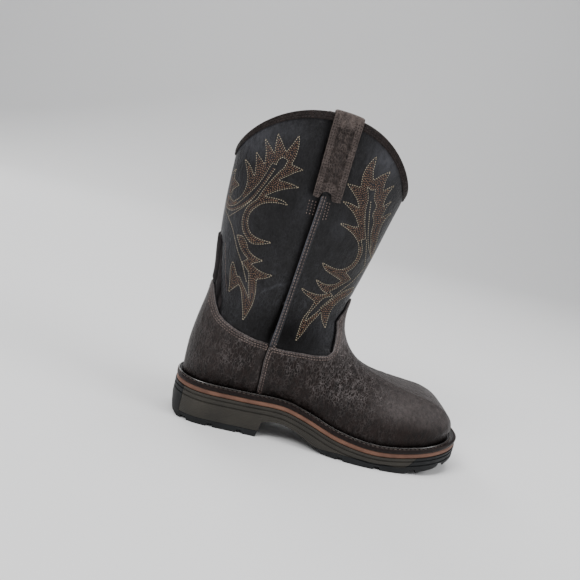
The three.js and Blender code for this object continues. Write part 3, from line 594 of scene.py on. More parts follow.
WELT_WAX = plain("waxed_welt_leather", "#090605", "#140e0d", 9, 0.28, 0.9, 0.2, coat=0.15, shine=0.2)
MIDSOLE = plain("terracotta_midsole_rubber", "#5f4236", "#785646", 14, 0.55, 0.8, 0.08)
BLACK_RUBBER = plain("moulded_black_rubber", "#0b0c0d", "#16181a", 16, 0.6, 0.7, 0.12)
LINING = plain("pigskin_lining", "#6e5742", "#86705a", 12, 0.85, 0.8, 0.15)
CREAM_THREAD = plain("cream_polyester_thread", "#8c806c", "#b0a48e", 5, 0.55, 0.35, 0.12)
AMBER_THREAD = plain("amber_polyester_thread", "#765640", "#96745a", 5, 0.5, 0.35, 0.12)
# the ridge is a lighter copy of the welt's leather: painted highlight along it, with a real glossy coat
WELT_RIDGE = plain("polished_welt_ridge_painted_highlight", "#211d1b", "#3c3734", 6, 0.24, 0.8, 0.1, coat=0.7)
WELT_BAND = plain("stitched_welt_band", "#100a09", "#201715", 2.5, 0.45, 1.6, 0.5, shine=0.15)
DARK_THREAD = plain("dark_polyester_thread", "#161010", "#2a201e", 5, 0.55, 0.35, 0.12)
BROWN_THREAD = plain("brown_polyester_thread", "#5a4a45", "#82726b", 5, 0.55, 0.35, 0.12)
print("plain finishes: wax, ridge, band, midsole, black rubber, lining and four threads")


# %% Side wall rubber
MOULD_LINE_PITCH = 1.6  # millimetres from one mould line to the next


def side_wall_rubber():
    """Moulded grey rubber; fine mould lines run along it, by the depth under the welt."""
    material, shader = new_material("olive_grey_side_rubber")
    place = add(material, "ShaderNodeTexCoord", {}).outputs["Object"]
    lines = add(material, "ShaderNodeAttribute", {}, attribute_name="depth_mm").outputs["Fac"]
    inputs = {0: lines, 1: 2 * math.pi / MOULD_LINE_PITCH}
    lines = add(material, "ShaderNodeMath", inputs, operation="MULTIPLY").outputs[0]
    lines = add(material, "ShaderNodeMath", {0: lines}, operation="SINE").outputs[0]
    patterns = []
    for width, detail in ((22, 5.0), (0.8, 2.0)):
        inputs = {"Vector": place, "Scale": per_metre(width), "Detail": detail}
        patterns.append(add(material, "ShaderNodeTexNoise", inputs).outputs["Fac"])
    cloud, grit = patterns
    inputs = {"Factor": cloud, 6: hex_colour("#1a1815"), 7: hex_colour("#3a362f")}
    colour = add(material, "ShaderNodeMix", inputs, data_type="RGBA").outputs[2]
    link(material, colour, shader.inputs["Base Color"])
    shader.inputs["Roughness"].default_value = 0.55
    shader.inputs["Specular IOR Level"].default_value = 0.35
    below = {}
    for strength, depth, height in ((0.35, 0.25, lines), (0.5, 0.1, grit)):
        inputs = {"Strength": strength, "Distance": depth * MM, "Height": height, **below}
        below = {"Normal": add(material, "ShaderNodeBump", inputs).outputs["Normal"]}
    link(material, below["Normal"], shader.inputs["Normal"])
    return material


SIDE_RUBBER = side_wall_rubber()


def give(piece, *materials):
    """Replaces a piece's materials with the given ones, in order."""
    piece.data.materials.clear()
    for material in materials:
        piece.data.materials.append(material)


print(SIDE_RUBBER.name)

# %% [markdown]
# ## Making a leather piece
# A shoemaker cuts each piece flat and pulls it over the last. Here a flat grid is added, its points
# are laid on the last's net, and the points outside the pattern are cut away. The first row inside
# the cut is moved onto the cut line, so the edge is clean. Solidify then gives the leather its
# thickness inwards, as the solids have it.


# %% Grid to leather
def place_points(piece, points):
    """Moves a mesh's points to places in millimetres, counted from the back of the sole."""
    moved = (points.reshape(-1, 3) - np.array([HEEL_LUG, 0, 0])) * MM
    piece.data.vertices.foreach_set("co", moved.astype(np.float32).ravel())
    piece.data.update()


def set_attribute(piece, name, values):
    """Stores one value a point under a name that the finishes read."""
    layer = piece.data.attributes.new(name, "FLOAT", "POINT")
    layer.data.foreach_set("value", np.asarray(values, np.float32).ravel())


def sheet_object(name, points, **marks):
    """A flat grid laid on rows of points, with its painted marks as attributes."""
    rows, columns = points.shape[:2]
    bpy.ops.object.select_all(action="DESELECT")
    bpy.ops.mesh.primitive_grid_add(x_subdivisions=columns - 1, y_subdivisions=rows - 1, size=2)
    piece = bpy.context.object
    piece.name = piece.data.name = name
    place_points(piece, points)
    for mark, values in marks.items():
        set_attribute(piece, mark, values)
    return piece


def edge_distance(x, z, outline):
    """Signed distance of points from a closed outline of the side view: positive inside."""
    outline = np.array(outline, float)
    after = np.roll(outline, -1, 0)
    distance = np.full(x.shape, 1e9)
    inside = np.zeros(x.shape, bool)
    for (ax, az), (bx, bz) in zip(outline, after):
        dx, dz = bx - ax, bz - az
        t = np.clip(((x - ax) * dx + (z - az) * dz) / max(dx * dx + dz * dz, 1e-9), 0, 1)
        distance = np.minimum(distance, np.hypot(x - ax - dx * t, z - az - dz * t))
        crosses = (az > z) != (bz > z)
        if abs(dz) > 1e-9:
            inside ^= crosses & (x < ax + dx * (z - az) / dz)
    return np.where(inside, distance, -distance)


def snap_to_edge(points, keep):
    """Moves the nearer end of each grid edge that crosses the cut onto the cut."""
    points, keep = points.copy(), keep.copy()
    best = np.full(keep.shape, 2.0)
    target = points.copy()
    for axis in (0, 1):
        a = tuple(slice(None, -1) if k == axis else slice(None) for k in (0, 1))
        b = tuple(slice(1, None) if k == axis else slice(None) for k in (0, 1))
        fa, fb = keep[a], keep[b]
        crosses = (fa > 0) != (fb > 0)
        share = np.where(crosses, fa / np.where(crosses, fa - fb, 1), 2.0)
        for mine, other, way in ((a, b, share), (b, a, np.where(crosses, 1 - share, 2.0))):
            near = crosses & (way <= 0.5) & (way < best[mine])
            move = points[mine] + (points[other] - points[mine]) * way[..., None]
            target[mine] = np.where(near[..., None], move, target[mine])
            best[mine] = np.where(near, way, best[mine])
    moved = best <= 0.5
    points[moved] = target[moved]
    keep[moved] = 0
    return points, keep


def cut_grid(piece, keep):
    """Deletes the points outside the cut; where one corner of a square goes, its triangle stays."""
    rows, columns = keep.shape
    gone = (keep < 0).ravel()
    index = np.arange(rows * columns).reshape(rows, columns)
    corners = np.stack([index[:-1, :-1], index[:-1, 1:], index[1:, 1:], index[1:, :-1]], -1).reshape(-1, 4)
    lost = gone[corners]
    work = bmesh.new()
    work.from_mesh(piece.data)
    work.verts.ensure_lookup_table()
    for square, out in zip(corners[lost.sum(1) == 1], lost[lost.sum(1) == 1]):
        work.faces.new([work.verts[int(k)] for k in square[~out]])
    bmesh.ops.delete(work, geom=[v for v in work.verts if gone[v.index]], context="VERTS")
    work.to_mesh(piece.data)
    work.free()


def merge_points(piece):
    """Joins points that lie on each other, where a ring or a section closes."""
    bpy.context.view_layer.objects.active = piece
    bpy.ops.object.mode_set(mode="EDIT")
    bpy.ops.mesh.select_all(action="SELECT")
    bpy.ops.mesh.remove_doubles(threshold=0.02 * MM)
    bpy.ops.object.mode_set(mode="OBJECT")


def finish_leather(piece, thickness):
    """Gives the sheet its thickness inwards and smooths its shading."""
    bpy.context.view_layer.objects.active = piece
    piece.select_set(True)
    solid = piece.modifiers.new("thickness", "SOLIDIFY")
    solid.thickness = thickness * MM
    solid.offset = -1
    solid.material_offset = 1 if len(piece.data.materials) > 1 else 0
    bpy.ops.object.modifier_apply(modifier="thickness")
    bpy.ops.object.shade_smooth_by_angle(angle=math.radians(40))
    piece.select_set(False)


def show_as(piece, node, slot):
    """The piece rides with the boot and stands for a solid, whose part is hidden; slot is not used."""
    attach(piece, "root")
    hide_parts(node)
    print(piece.name + ":", len(piece.data.polygons), "faces")


print("leather tools: sheet, cut, thickness")

# %% [markdown]
# ## Creases
# Worn leather folds where the foot bends. Each crease is given as a line over the surface,
# a depth and a width in millimetres. Its trough is soft and a low ridge stands on both sides.

# %% Creases
VAMP_CREASES = [  # side (-1 outer, 1 inner, 0 both), depth, width, points as shares along and up
    (0, 1.5, 4.2, [(0.600, 0.262), (0.585, 0.235), (0.570, 0.205), (0.552, 0.172)]),
    (0, 1.2, 3.6, [(0.640, 0.249), (0.628, 0.225), (0.612, 0.195), (0.597, 0.165)]),
    (0, 1.0, 3.2, [(0.680, 0.242), (0.668, 0.215), (0.655, 0.190), (0.640, 0.168)]),
    (0, 0.8, 3.0, [(0.715, 0.238), (0.703, 0.212), (0.690, 0.190)]),
    (0, 1.3, 4.0, [(0.560, 0.296), (0.540, 0.262), (0.522, 0.232), (0.505, 0.200)]),
    (0, 1.0, 3.4, [(0.532, 0.330), (0.512, 0.290), (0.494, 0.258), (0.480, 0.225)]),
    (0, 0.8, 2.6, [(0.500, 0.282), (0.484, 0.256), (0.470, 0.225), (0.466, 0.192)]),
    (-1, 0.6, 2.0, [(0.440, 0.286), (0.436, 0.258), (0.446, 0.230), (0.452, 0.205)]),
    (-1, 0.6, 1.9, [(0.381, 0.284), (0.405, 0.262), (0.425, 0.236), (0.440, 0.205)]),
    (-1, 0.6, 1.8, [(0.349, 0.286), (0.375, 0.266), (0.400, 0.240), (0.420, 0.210)]),
    (-1, 0.5, 1.7, [(0.324, 0.282), (0.345, 0.262), (0.368, 0.240), (0.386, 0.212)]),
    (1, 0.6, 2.0, [(0.400, 0.280), (0.415, 0.255), (0.430, 0.225)]),
    (1, 0.5, 1.8, [(0.350, 0.284), (0.370, 0.258), (0.390, 0.226)]),
    (-1, 0.5, 1.8, [(0.300, 0.240), (0.345, 0.226), (0.395, 0.204)]),
]
COUNTER_CREASES = [
    (-1, 0.6, 1.7, [(0.150, 0.250), (0.190, 0.236), (0.230, 0.222), (0.262, 0.204)]),
    (-1, 0.5, 1.5, [(0.150, 0.238), (0.190, 0.224), (0.230, 0.209), (0.258, 0.194)]),
    (-1, 0.4, 1.5, [(0.180, 0.252), (0.215, 0.240), (0.250, 0.224)]),
    (-1, 0.4, 2.2, [(0.060, 0.250), (0.085, 0.215), (0.125, 0.186)]),
    (1, 0.5, 1.7, [(0.140, 0.246), (0.190, 0.230), (0.250, 0.205)]),
    (1, 0.4, 1.6, [(0.100, 0.225), (0.150, 0.205), (0.210, 0.190)]),
    (0, 0.6, 2.4, [(0.068, 0.345), (0.095, 0.320), (0.135, 0.300)]),
]
SHAFT_CREASES = [  # the shaft buckles softly over the ankle and below the collar
    (0, 1.0, 6.0, [(0.095, 0.455), (0.150, 0.440), (0.210, 0.425), (0.250, 0.400)]),
    (0, 0.8, 6.5, [(0.100, 0.520), (0.160, 0.510), (0.230, 0.480)]),
    (0, 0.9, 7.0, [(0.330, 0.400), (0.390, 0.385), (0.450, 0.395)]),
    (0, 0.8, 8.0, [(0.350, 0.560), (0.420, 0.530), (0.500, 0.540)]),
    (-1, 0.5, 1.3, [(0.408, 0.705), (0.424, 0.668), (0.414, 0.640), (0.396, 0.612)]),
    (-1, 0.4, 1.2, [(0.205, 0.462), (0.240, 0.472), (0.276, 0.490)]),
    (-1, 0.4, 1.0, [(0.225, 0.455), (0.252, 0.465), (0.280, 0.470)]),
    (1, 0.7, 6.5, [(0.120, 0.640), (0.180, 0.600), (0.240, 0.590)]),
    (-1, 0.9, 9.0, [(0.255, 0.860), (0.262, 0.780), (0.268, 0.700)]),
    (1, 0.9, 9.0, [(0.240, 0.860), (0.250, 0.780), (0.258, 0.700)]),
]


def crease_lift(points, rows):
    """Height of the creases at points in millimetres."""
    lift = np.zeros(points.shape[:-1])
    flat = points.reshape(-1, 3)
    for side, depth, width, line in rows:
        for s in ((-1, 1) if side == 0 else (side,)):
            x, z = spline_through(sized(line), 24)[0].T
            place = np.stack([x, centre_y(x) + s * upper_breadth(s, x, z), z], 1)
            gap = np.linalg.norm(flat[:, None] - place[None], axis=2)
            k = gap.argmin(1)
            fade = np.sin(np.linspace(0.12, math.pi - 0.12, len(place)))[k]
            d = gap.min(1) / width
            profile = -np.exp(-d * d) + 0.45 * np.exp(-((d - 1.7) ** 2) / 0.5)
            lift += (depth * fade * profile).reshape(lift.shape)
    return lift


print("creases:", len(VAMP_CREASES) + len(COUNTER_CREASES) + len(SHAFT_CREASES))

# %% [markdown]
# ## Upper
# The upper is one shell, from the welt to the collar, and its wall is 2.2 mm thick. Its lower part
# lies under the vamp and the counter. The back has a shallow recess for the stretch panel.

# %% Upper
LEVELS = np.linspace(0, 1, 171)
BEHIND, AHEAD = 40, 84
net = upper_net(LEVELS, BEHIND, AHEAD)
normals = net_normals(net)


def closed(rows):
    """Repeats the first column at the end, so that a ring closes."""
    return np.concatenate([rows, rows[:, :1]], 1)


print("net of the upper:", net.shape[0], "rings of", net.shape[1], "points")

# %% [markdown]
# ## Pattern lines
# A shoemaker cuts each leather piece by a paper pattern. Here a pattern is a line of the side view,
# or of the back view for the stretch panel, in shares of the boot's length and height. Vamp and
# counter each have their own line where they meet, half a millimetre apart, as two cut edges have.

# %% Pattern lines
GUSSET_EDGE = [  # half breadth as a share of the shaft's depth, height share
    (0.325, 0.345), (0.302, 0.388), (0.216, 0.458), (0.193, 0.502), (0.175, 0.553), (0.118, 0.575),
    (0.045, 0.584),
]
COUNTER_EDGE = [
    (-0.05, 0.43), (0.05, 0.428), (0.0577, 0.424), (0.0653, 0.4027), (0.0782, 0.3753), (0.095, 0.3503),
    (0.1173, 0.3364), (0.1545, 0.3212), (0.19, 0.3105), (0.2256, 0.3022), (0.2738, 0.2985),
    (0.2688, 0.245), (0.2718, 0.14), (0.2728, 0.08),
]
VAMP_EDGE = [
    (0.2745, 0.08), (0.2735, 0.14), (0.2705, 0.245), (0.2757, 0.2905), (0.329, 0.2898),
    (0.3955, 0.2925), (0.4296, 0.2922), (0.469, 0.2964), (0.4855, 0.3097), (0.4873, 0.3462),
    (0.4855, 0.3706), (0.4783, 0.3995), (0.4875, 0.4176), (0.5, 0.4358), (0.5058, 0.458),
    (0.516, 0.4734),
]
gusset_right = [(h * SHAFT_DEPTH, u * SHAFT_HEIGHT) for h, u in GUSSET_EDGE]
GUSSET_OUTLINE = gusset_right + [(-y, z) for y, z in reversed(gusset_right)]
COUNTER_OUTLINE = sized(COUNTER_EDGE) + [(0.2728 * SOLE_LENGTH, -20), (-0.05 * SOLE_LENGTH, -20)]
VAMP_OUTLINE = sized(VAMP_EDGE) + sized([(0.62, 0.52), (1.2, 0.52), (1.2, -0.1), (0.2745, -0.1)])


def gusset_distance(points):
    """Depth inside the stretch panel's opening, at the back of the shaft only."""
    inside = edge_distance(points[..., 1], points[..., 2], GUSSET_OUTLINE)
    return np.where(points[..., 0] < 50, inside, -50.0)


FRONT_SLIT = sized(VAMP_EDGE[8:])  # the slit between the vamp's tongue and the shaft, darkened with painted shade


def line_distance(x, z, line):
    """Distance from points of the side view to an open line."""
    distance = np.full(x.shape, 1e9)
    for (ax, az), (bx, bz) in zip(line[:-1], line[1:]):
        dx, dz = bx - ax, bz - az
        t = np.clip(((x - ax) * dx + (z - az) * dz) / (dx * dx + dz * dz), 0, 1)
        distance = np.minimum(distance, np.hypot(x - ax - dx * t, z - az - dz * t))
    return distance


def past_seam(points):
    """How far points lie in front of the side seam, in millimetres."""
    return points[..., 0] - SEAM(points[..., 2] / SHAFT_HEIGHT) * SOLE_LENGTH


print("vamp pattern:", len(VAMP_OUTLINE), "points; counter pattern:", len(COUNTER_OUTLINE), "points")

# %% [markdown]
# ## Painted sheen and shade of the shaft
# The oiled leather gets painted sheen, soft grey highlights, and painted shade in the seams and beside
# the strap, where it stays black; a scratch over the ankle is real wear. These places are worked out on
# the net and go to the finish as attributes. The same lines also press the leather in a little, at the seam
# and at the slit beside the tongue.

# %% Painted sheen and shade of the shaft
STRAP_WIDTH, STRAP_ALONG, STRAP_LEAN = 28.0, 0.345, 2.6
RECESS = 0.9  # how far the shaft is let in under the stretch panel
SHEEN = [  # painted sheen, soft grey highlights on the oiled leather: place and reach in shares, amount
    (0.07, 0.89, 0.09, 0.06, 0.26), (0.15, 0.93, 0.07, 0.04, 0.15), (0.50, 0.92, 0.06, 0.07, 0.28),
    (0.50, 0.80, 0.05, 0.08, 0.10), (0.40, 0.69, 0.03, 0.03, 0.10), (0.276, 0.73, 0.02, 0.05, 0.06),
    (0.46, 0.37, 0.05, 0.05, 0.10), (0.06, 0.60, 0.05, 0.16, 0.12), (0.17, 0.43, 0.04, 0.05, 0.08),
]
# the scratch over the ankle, in millimetres along and up
SCUFF = [(62.8, 145.4), (70.0, 150.0), (77.0, 155.5), (86.1, 158.0)]
x, z = net[..., 0], net[..., 2]
along, up = x / SOLE_LENGTH, z / SHAFT_HEIGHT
# painted shade in the slit beside the vamp's tongue; the same mask presses the leather in
slit_line = [(px - 1.0, pz) for px, pz in FRONT_SLIT]
slit = bell(line_distance(x, z, slit_line), 1.1)
above_foot = ease((up - 0.29) / 0.03)
behind_seam = -past_seam(net)
tuck = bell(behind_seam - 1.4, 1.6) * above_foot
# painted shadow behind the seam lap, where the back panel runs under the front one
seam_shadow = np.where(behind_seam > 0, bell(behind_seam, 4.2), 0.0) * above_foot
# painted shadow beside the strap's rear edge
strap_edge = (STRAP_ALONG * SOLE_LENGTH - STRAP_WIDTH / 2) - STRAP_LEAN * (1 - up) / 0.24
strap_shadow = np.where(x < strap_edge + 2, bell(x - strap_edge, 5.0), 0.0) * ease((up - 0.755) / 0.02)
in_gusset = gusset_distance(net)
# a broad patch of painted shade low on the shaft, around the seam
shaft_shade_patch = 0.75 * bell(along - 0.31, 0.13) * bell(up - 0.34, 0.08)
# all painted shade of the upper, with painted shade at the stretch panel's rim
dark = 0.95 * slit + 0.95 * seam_shadow + 0.8 * strap_shadow + 0.8 * bell(in_gusset, 0.9) + shaft_shade_patch
recess = -RECESS * ease(in_gusset / 0.8 + 0.5)
upper_lift = recess - 1.1 * slit - 0.9 * tuck + crease_lift(net, SHAFT_CREASES)
# painted sheen: soft grey highlights on the oiled leather
sheen = 0.0 * x
for at, height, reach_along, reach_up, amount in SHEEN:
    sheen = np.maximum(sheen, amount * bell(along - at, reach_along) * bell(up - height, reach_up))
scuff = np.where(net[..., 1] < 0, bell(line_distance(x, z, SCUFF), 0.8), 0.0)
print("shaft pressed in by up to", round(float(-upper_lift.min()), 2), "mm")

# %% Upper shell
ring = closed(net + normals * upper_lift[..., None])
# the pale attribute holds the painted sheen and the real scratch; the dark one holds the painted shade
upper = sheet_object(
    "upper_shell", ring, shade=closed(np.clip(dark, 0, 1)), rubbed=closed(sheen + 0.22 * scuff),
    flex=0.2 + 0.35 * bell(ring[..., 2] / SHAFT_HEIGHT - 0.42, 0.12),
)
give(upper, BLACK_LEATHER, LINING)
merge_points(upper)
finish_leather(upper, WALL)
show_as(upper, "upper", "black_leather")

# %% [markdown]
# ## Vamp, counter, seam laps and stretch panel
# Vamp and counter are brown pieces over the shell. The front panel of the shaft ends in a raised lap
# along the side seam. The panel at the back is folded, so that the shaft gives over the heel.


# %% Cover pieces
def cover(name, node, slot, material, columns, levels, region, thickness, lift, marks, part):
    """A piece cut from a sheet that lies just outside the upper. part says which columns it needs:
    heel (round the back), toe (round the front), outer or inner (beside the seam)."""
    behind, ahead = columns
    own = upper_net(levels, behind, ahead)
    out = net_normals(own)
    size = 2 * (behind + ahead)
    columns_of = {
        "heel": [*range(size - behind - 3, size), *range(behind + 4)],
        "toe": [*range(max(behind - 3, 0), size - behind + 4)],
        "outer": [*range(behind - 6, behind + 14)],
        "inner": [*range(size - behind - 14, size - behind + 7)],
    }
    own, out = own[:, columns_of[part]], out[:, columns_of[part]]
    own, kept = snap_to_edge(own, region(own))
    inside = np.maximum(kept, 0)
    height = CLEARANCE + thickness + lift(own, inside)
    piece = sheet_object(name, own + out * height[..., None], **marks(own, inside))
    cut_grid(piece, kept)
    give(piece, material)
    finish_leather(piece, thickness)
    show_as(piece, node, slot)


def shares(points):
    """Share of the sole's length and of the shaft's height at points."""
    return points[..., 0] / SOLE_LENGTH, points[..., 2] / SHAFT_HEIGHT


def low_shade(points):
    """Painted shade where a piece meets the welt."""
    return 0.85 * bell(points[..., 2] - seat_z(points[..., 0]), 4.5)


def skived(inside, drop):
    """A cut edge is pared down, so its last millimetre falls away."""
    return -drop * bell(inside, 0.7)


def in_outline(outline):
    return lambda points: edge_distance(points[..., 0], points[..., 2], outline)


print("cover tools ready; panel recess", RECESS, "mm")


# %% [markdown]
# ## Vamp
# The vamp is one brown piece over toes and instep. Its skived edge lies on the shaft, and it pales
# where the foot bends; over the toe it carries painted sheen.

# %% Vamp
def vamp_lift(points, inside):
    return crease_lift(points, VAMP_CREASES) + skived(inside, 0.55)


def vamp_marks(points, inside):
    """Marks: bending where the foot bends; paler at the cut edge and on the tongue, with painted sheen over
    the toe; painted shade at the welt.
    """
    along, up = shares(points)
    bend = bell(along - 0.56, 0.15) * ease((up - 0.13) / 0.07)
    side = 0.75 * bell(along - 0.36, 0.09) * ease((up - 0.18) / 0.06)
    least = 0.25 - 0.25 * ease((along - 0.7) / 0.08)
    # painted sheen over the toe, stronger on its side than on its top
    toe = 0.2 * ease((along - 0.6) / 0.16) * ease((up - 0.12) / 0.06)
    toe *= 1 - 0.65 * ease((up - 0.19) / 0.05)
    tongue = 0.3 * bell(along - 0.51, 0.035) * bell(up - 0.345, 0.05)
    edge = 0.3 * bell(inside, 0.8) + 0.1 * bell(inside, 5.0)
    flex = np.clip(np.maximum(bend, side), least, 1)
    return {"flex": flex, "rubbed": toe + tongue + edge, "shade": low_shade(points)}


cover("vamp_leather", "vamp", "brown_leather", BROWN_LEATHER, (50, 140), np.linspace(0, 0.85, 205),
      in_outline(VAMP_OUTLINE), VAMP_THICKNESS, vamp_lift, vamp_marks, "toe")


# %% [markdown]
# ## Counter
# The counter wraps the heel and is stiff, so its creases are few and shallow. It ends at the vamp in
# a butted joint with painted shade along it, and its top edge is pared and paler.

# %% Counter
def counter_lift(points, inside):
    return crease_lift(points, COUNTER_CREASES) + skived(inside, 0.45)


def counter_marks(points, inside):
    """The same marks for the counter: it bends over the ankle, its top edge is paler, a faint painted sheen
    lies on the heel, and painted shade darkens the joint with the vamp.
    """
    along, up = shares(points)
    flex = 0.8 * bell(along - 0.2, 0.08) * ease((up - 0.17) / 0.05)
    # a faint painted sheen over the heel
    heel = 0.06 * bell(along - 0.09, 0.08) * ease((up - 0.16) / 0.06)
    from_vamp = -in_outline(VAMP_OUTLINE)(points)
    edge = (0.3 * bell(inside, 0.8) + 0.12 * bell(inside, 6.0)) * (1 - bell(from_vamp, 6))
    # painted shade along the joint with the vamp
    joint = 0.95 * bell(from_vamp - 0.8, 1.0)
    shade = np.maximum(low_shade(points), joint)
    return {"flex": np.maximum(flex, 0.3), "rubbed": edge + heel, "shade": shade}


cover("counter_leather", "counter", "brown_leather", BROWN_LEATHER, (76, 50), np.linspace(0, 0.72, 151),
      in_outline(COUNTER_OUTLINE), COUNTER_THICKNESS, counter_lift, counter_marks, "heel")

# %% [markdown]
# ## Seam laps
# The front panel of the shaft lies over the back panel, and its folded edge stands up as a narrow
# lap along the side seam, from the foot up to the pull strap.

# %% Seam laps
LAP_WIDTH, LAP_THICKNESS = 6.5, 1.3
STRAP_DROP = 76.0
LAP_TO = (SHAFT_HEIGHT - STRAP_DROP + 2.5) / SHAFT_HEIGHT


SIDES = ((-1, "outer"), (1, "inner"))


def seam_points(low, high, count, past=0.0):
    """Points of the side view along the seam, or a little in front of it."""
    ups = np.linspace(low, high, count)
    return [(float(SEAM(u)) * SOLE_LENGTH + past, u * SHAFT_HEIGHT) for u in ups]


def lap_outline():
    rear = seam_points(0.2918, LAP_TO, 12)
    return rear + [(x + LAP_WIDTH, z) for x, z in reversed(rear)]


def lap_lift(points, inside):
    return -1.0 * ease((past_seam(points) - 3.5) / 3.0) + skived(inside, 0.3)


def lap_marks(points, inside):
    past = past_seam(points)
    return {"rubbed": 0.1 + 0.4 * bell(past - 0.5, 0.8), "flex": 0 * past}


for _, word in SIDES:
    cover("seam_lap_leather_" + word, "seam_lap_" + word, "black_leather", BLACK_LEATHER, (60, 180),
          np.linspace(0.2, 0.95, 150), in_outline(lap_outline()), LAP_THICKNESS, lap_lift, lap_marks, word)

# %% [markdown]
# ## Stretch panel
# A folded panel is let into the back of the shaft, so that the heel gets through. Its folds run
# upright; a raised cosine gives them round crests and narrow valleys.

# %% Stretch panel
FOLD_PITCH, FOLD_RISE = 9.0, 1.6


def panel_region(points):
    under_counter = -edge_distance(points[..., 0], points[..., 2], COUNTER_OUTLINE) - 0.6
    return np.minimum(gusset_distance(points) - CLEARANCE, under_counter)


def fold_wave(points):
    """1 on the crest of a fold, 0 in the valley."""
    return 0.5 + 0.5 * np.cos(2 * np.pi * points[..., 1] / FOLD_PITCH)


def panel_lift(points, inside):
    """Rounded upright folds, flat at the panel's rim; the panel lies in the shaft's recess."""
    folds = (FOLD_RISE + 0.3) * fold_wave(points) ** 1.6 * ease(inside / 2.5)
    return -RECESS + folds - 0.5 * (1 - ease(inside / 1.2))


def panel_marks(points, inside):
    wave = fold_wave(points)
    # painted shade in the valleys between the folds
    return {"shade": 0.8 * (1 - wave) ** 2, "flex": 0.3 + 0 * wave}


PANEL = leather("folded_stretch_leather", "#0c0a0b", "#1d1718", "#5a5050", 0.8, 0.3, 0.9, 0.55, 0.2, 0.4)
cover("stretch_panel", "gusset_back", "stretch_panel", PANEL, (110, 40), np.linspace(0.3, 0.9, 150),
      panel_region, 0.6, panel_lift, panel_marks, "heel")

# %% [markdown]
# ## Collar binding
# The binding is a strip folded over the shaft's top edge. Its section is a narrow arch; it is swept
# round the collar and then gets the strip's thickness inwards.

# %% Collar binding
BINDING_DEPTH, BINDING_THICKNESS = 6.5, 0.8
BINDING_CREST = 13  # the section's row on top of the fold


def binding_section():
    far = 1.4 * CLEARANCE + BINDING_THICKNESS
    turn = np.linspace(0, math.pi, 11)
    middle, reach = -WALL / 2, far + WALL / 2
    arch = [(middle + reach * math.cos(a), far * math.sin(a) ** 0.7) for a in turn]
    drops = np.linspace(-BINDING_DEPTH, -0.6, 8)
    outside = [(far - 0.35 * float(bell(d + BINDING_DEPTH, 0.6)), d) for d in drops]
    inside = [(-WALL - far, d) for d in reversed(drops)]
    return outside + arch + inside


collar, collar_out = net[-1], normals[-1]
collar_rise = net[-1] - net[-4]
collar_rise /= np.linalg.norm(collar_rise, axis=1, keepdims=True)
rows = np.array([collar + collar_out * out + collar_rise * up for out, up in binding_section()])
ring = closed(rows)
# painted highlight along the crest of the fold
crest_highlight = 0.35 * bell(np.arange(len(ring)) - BINDING_CREST, 2.5)
binding = sheet_object("collar_binding_strip", ring, rubbed=np.tile(crest_highlight[:, None], (1, ring.shape[1])))
give(binding, STRAP_LEATHER)
merge_points(binding)
finish_leather(binding, BINDING_THICKNESS)
show_as(binding, "collar_binding", "black_leather")

# %% [markdown]
# ## Pull straps
# A pull strap is one doubled band: it is sewn down outside the shaft, loops over the collar and is
# sewn down inside. Its lower end has two lobes beside a notch, where the seam lap comes out.

# %% Strap path
STRAP_TAPER, STRAP_THICKNESS, STRAP_LOOP, STRAP_INNER_DROP = 1.0, 2.2, 2.2, 58.0
HALF_STRAP = STRAP_WIDTH / 2
LEG_OVER_BINDING = BINDING_THICKNESS + 3.4 * CLEARANCE
STRAP_END = through([(-1, 0), (-0.58, -1), (-0.42, 4), (-0.08, 6), (0.26, 4), (0.42, -1), (1, 0)])
collar_half = net[-1][: BEHIND + AHEAD + 1]


def strap_place(side, across, rise, out):
    """A point of a strap: share across, height over the collar, distance outside the upper."""
    down = np.clip(-rise / STRAP_DROP, 0, 1)
    x = STRAP_ALONG * SOLE_LENGTH - STRAP_LEAN * down + across * (STRAP_WIDTH - STRAP_TAPER * down) / 2
    top = np.interp(x, collar_half[:, 0], collar_half[:, 2])
    breadth = upper_breadth(side, x, top + np.minimum(rise, 0))
    return np.stack(np.broadcast_arrays(x, centre_y(x) + side * (breadth + out), top + rise), -1)


def leg_out(rise):
    """The leg lies on the upper and steps out over the binding."""
    return mix(2 * CLEARANCE, LEG_OVER_BINDING, ease((rise + 16) / 9))


STRAP_WRINKLES = [  # across and height over the collar of the soft folds in the strap's middle
    [(-0.55, -12), (0.0, -15), (0.6, -13)], [(-0.5, -21), (0.1, -23), (0.55, -26)],
    [(-0.55, -33), (-0.1, -31), (0.5, -34)], [(-0.4, -42), (0.1, -44), (0.55, -41)],
    [(-0.55, -50), (0.0, -53), (0.45, -54)], [(-0.5, -62), (0.1, -60), (0.5, -63)],
]


def wrinkle_lift(across, rise):
    lift = 0.0 * across
    for line in STRAP_WRINKLES:
        fine = spline_through([(a * HALF_STRAP, r) for a, r in line], 14)[0]
        beside = across[..., None] * HALF_STRAP - fine[:, 0]
        gap = np.hypot(beside, rise[..., None] - fine[:, 1]).min(-1)
        lift += 0.35 * (-bell(gap, 1.6) + 0.4 * bell(gap - 3.0, 1.5))
    return lift


print("strap drops", STRAP_DROP, "mm outside and", STRAP_INNER_DROP, "mm inside")


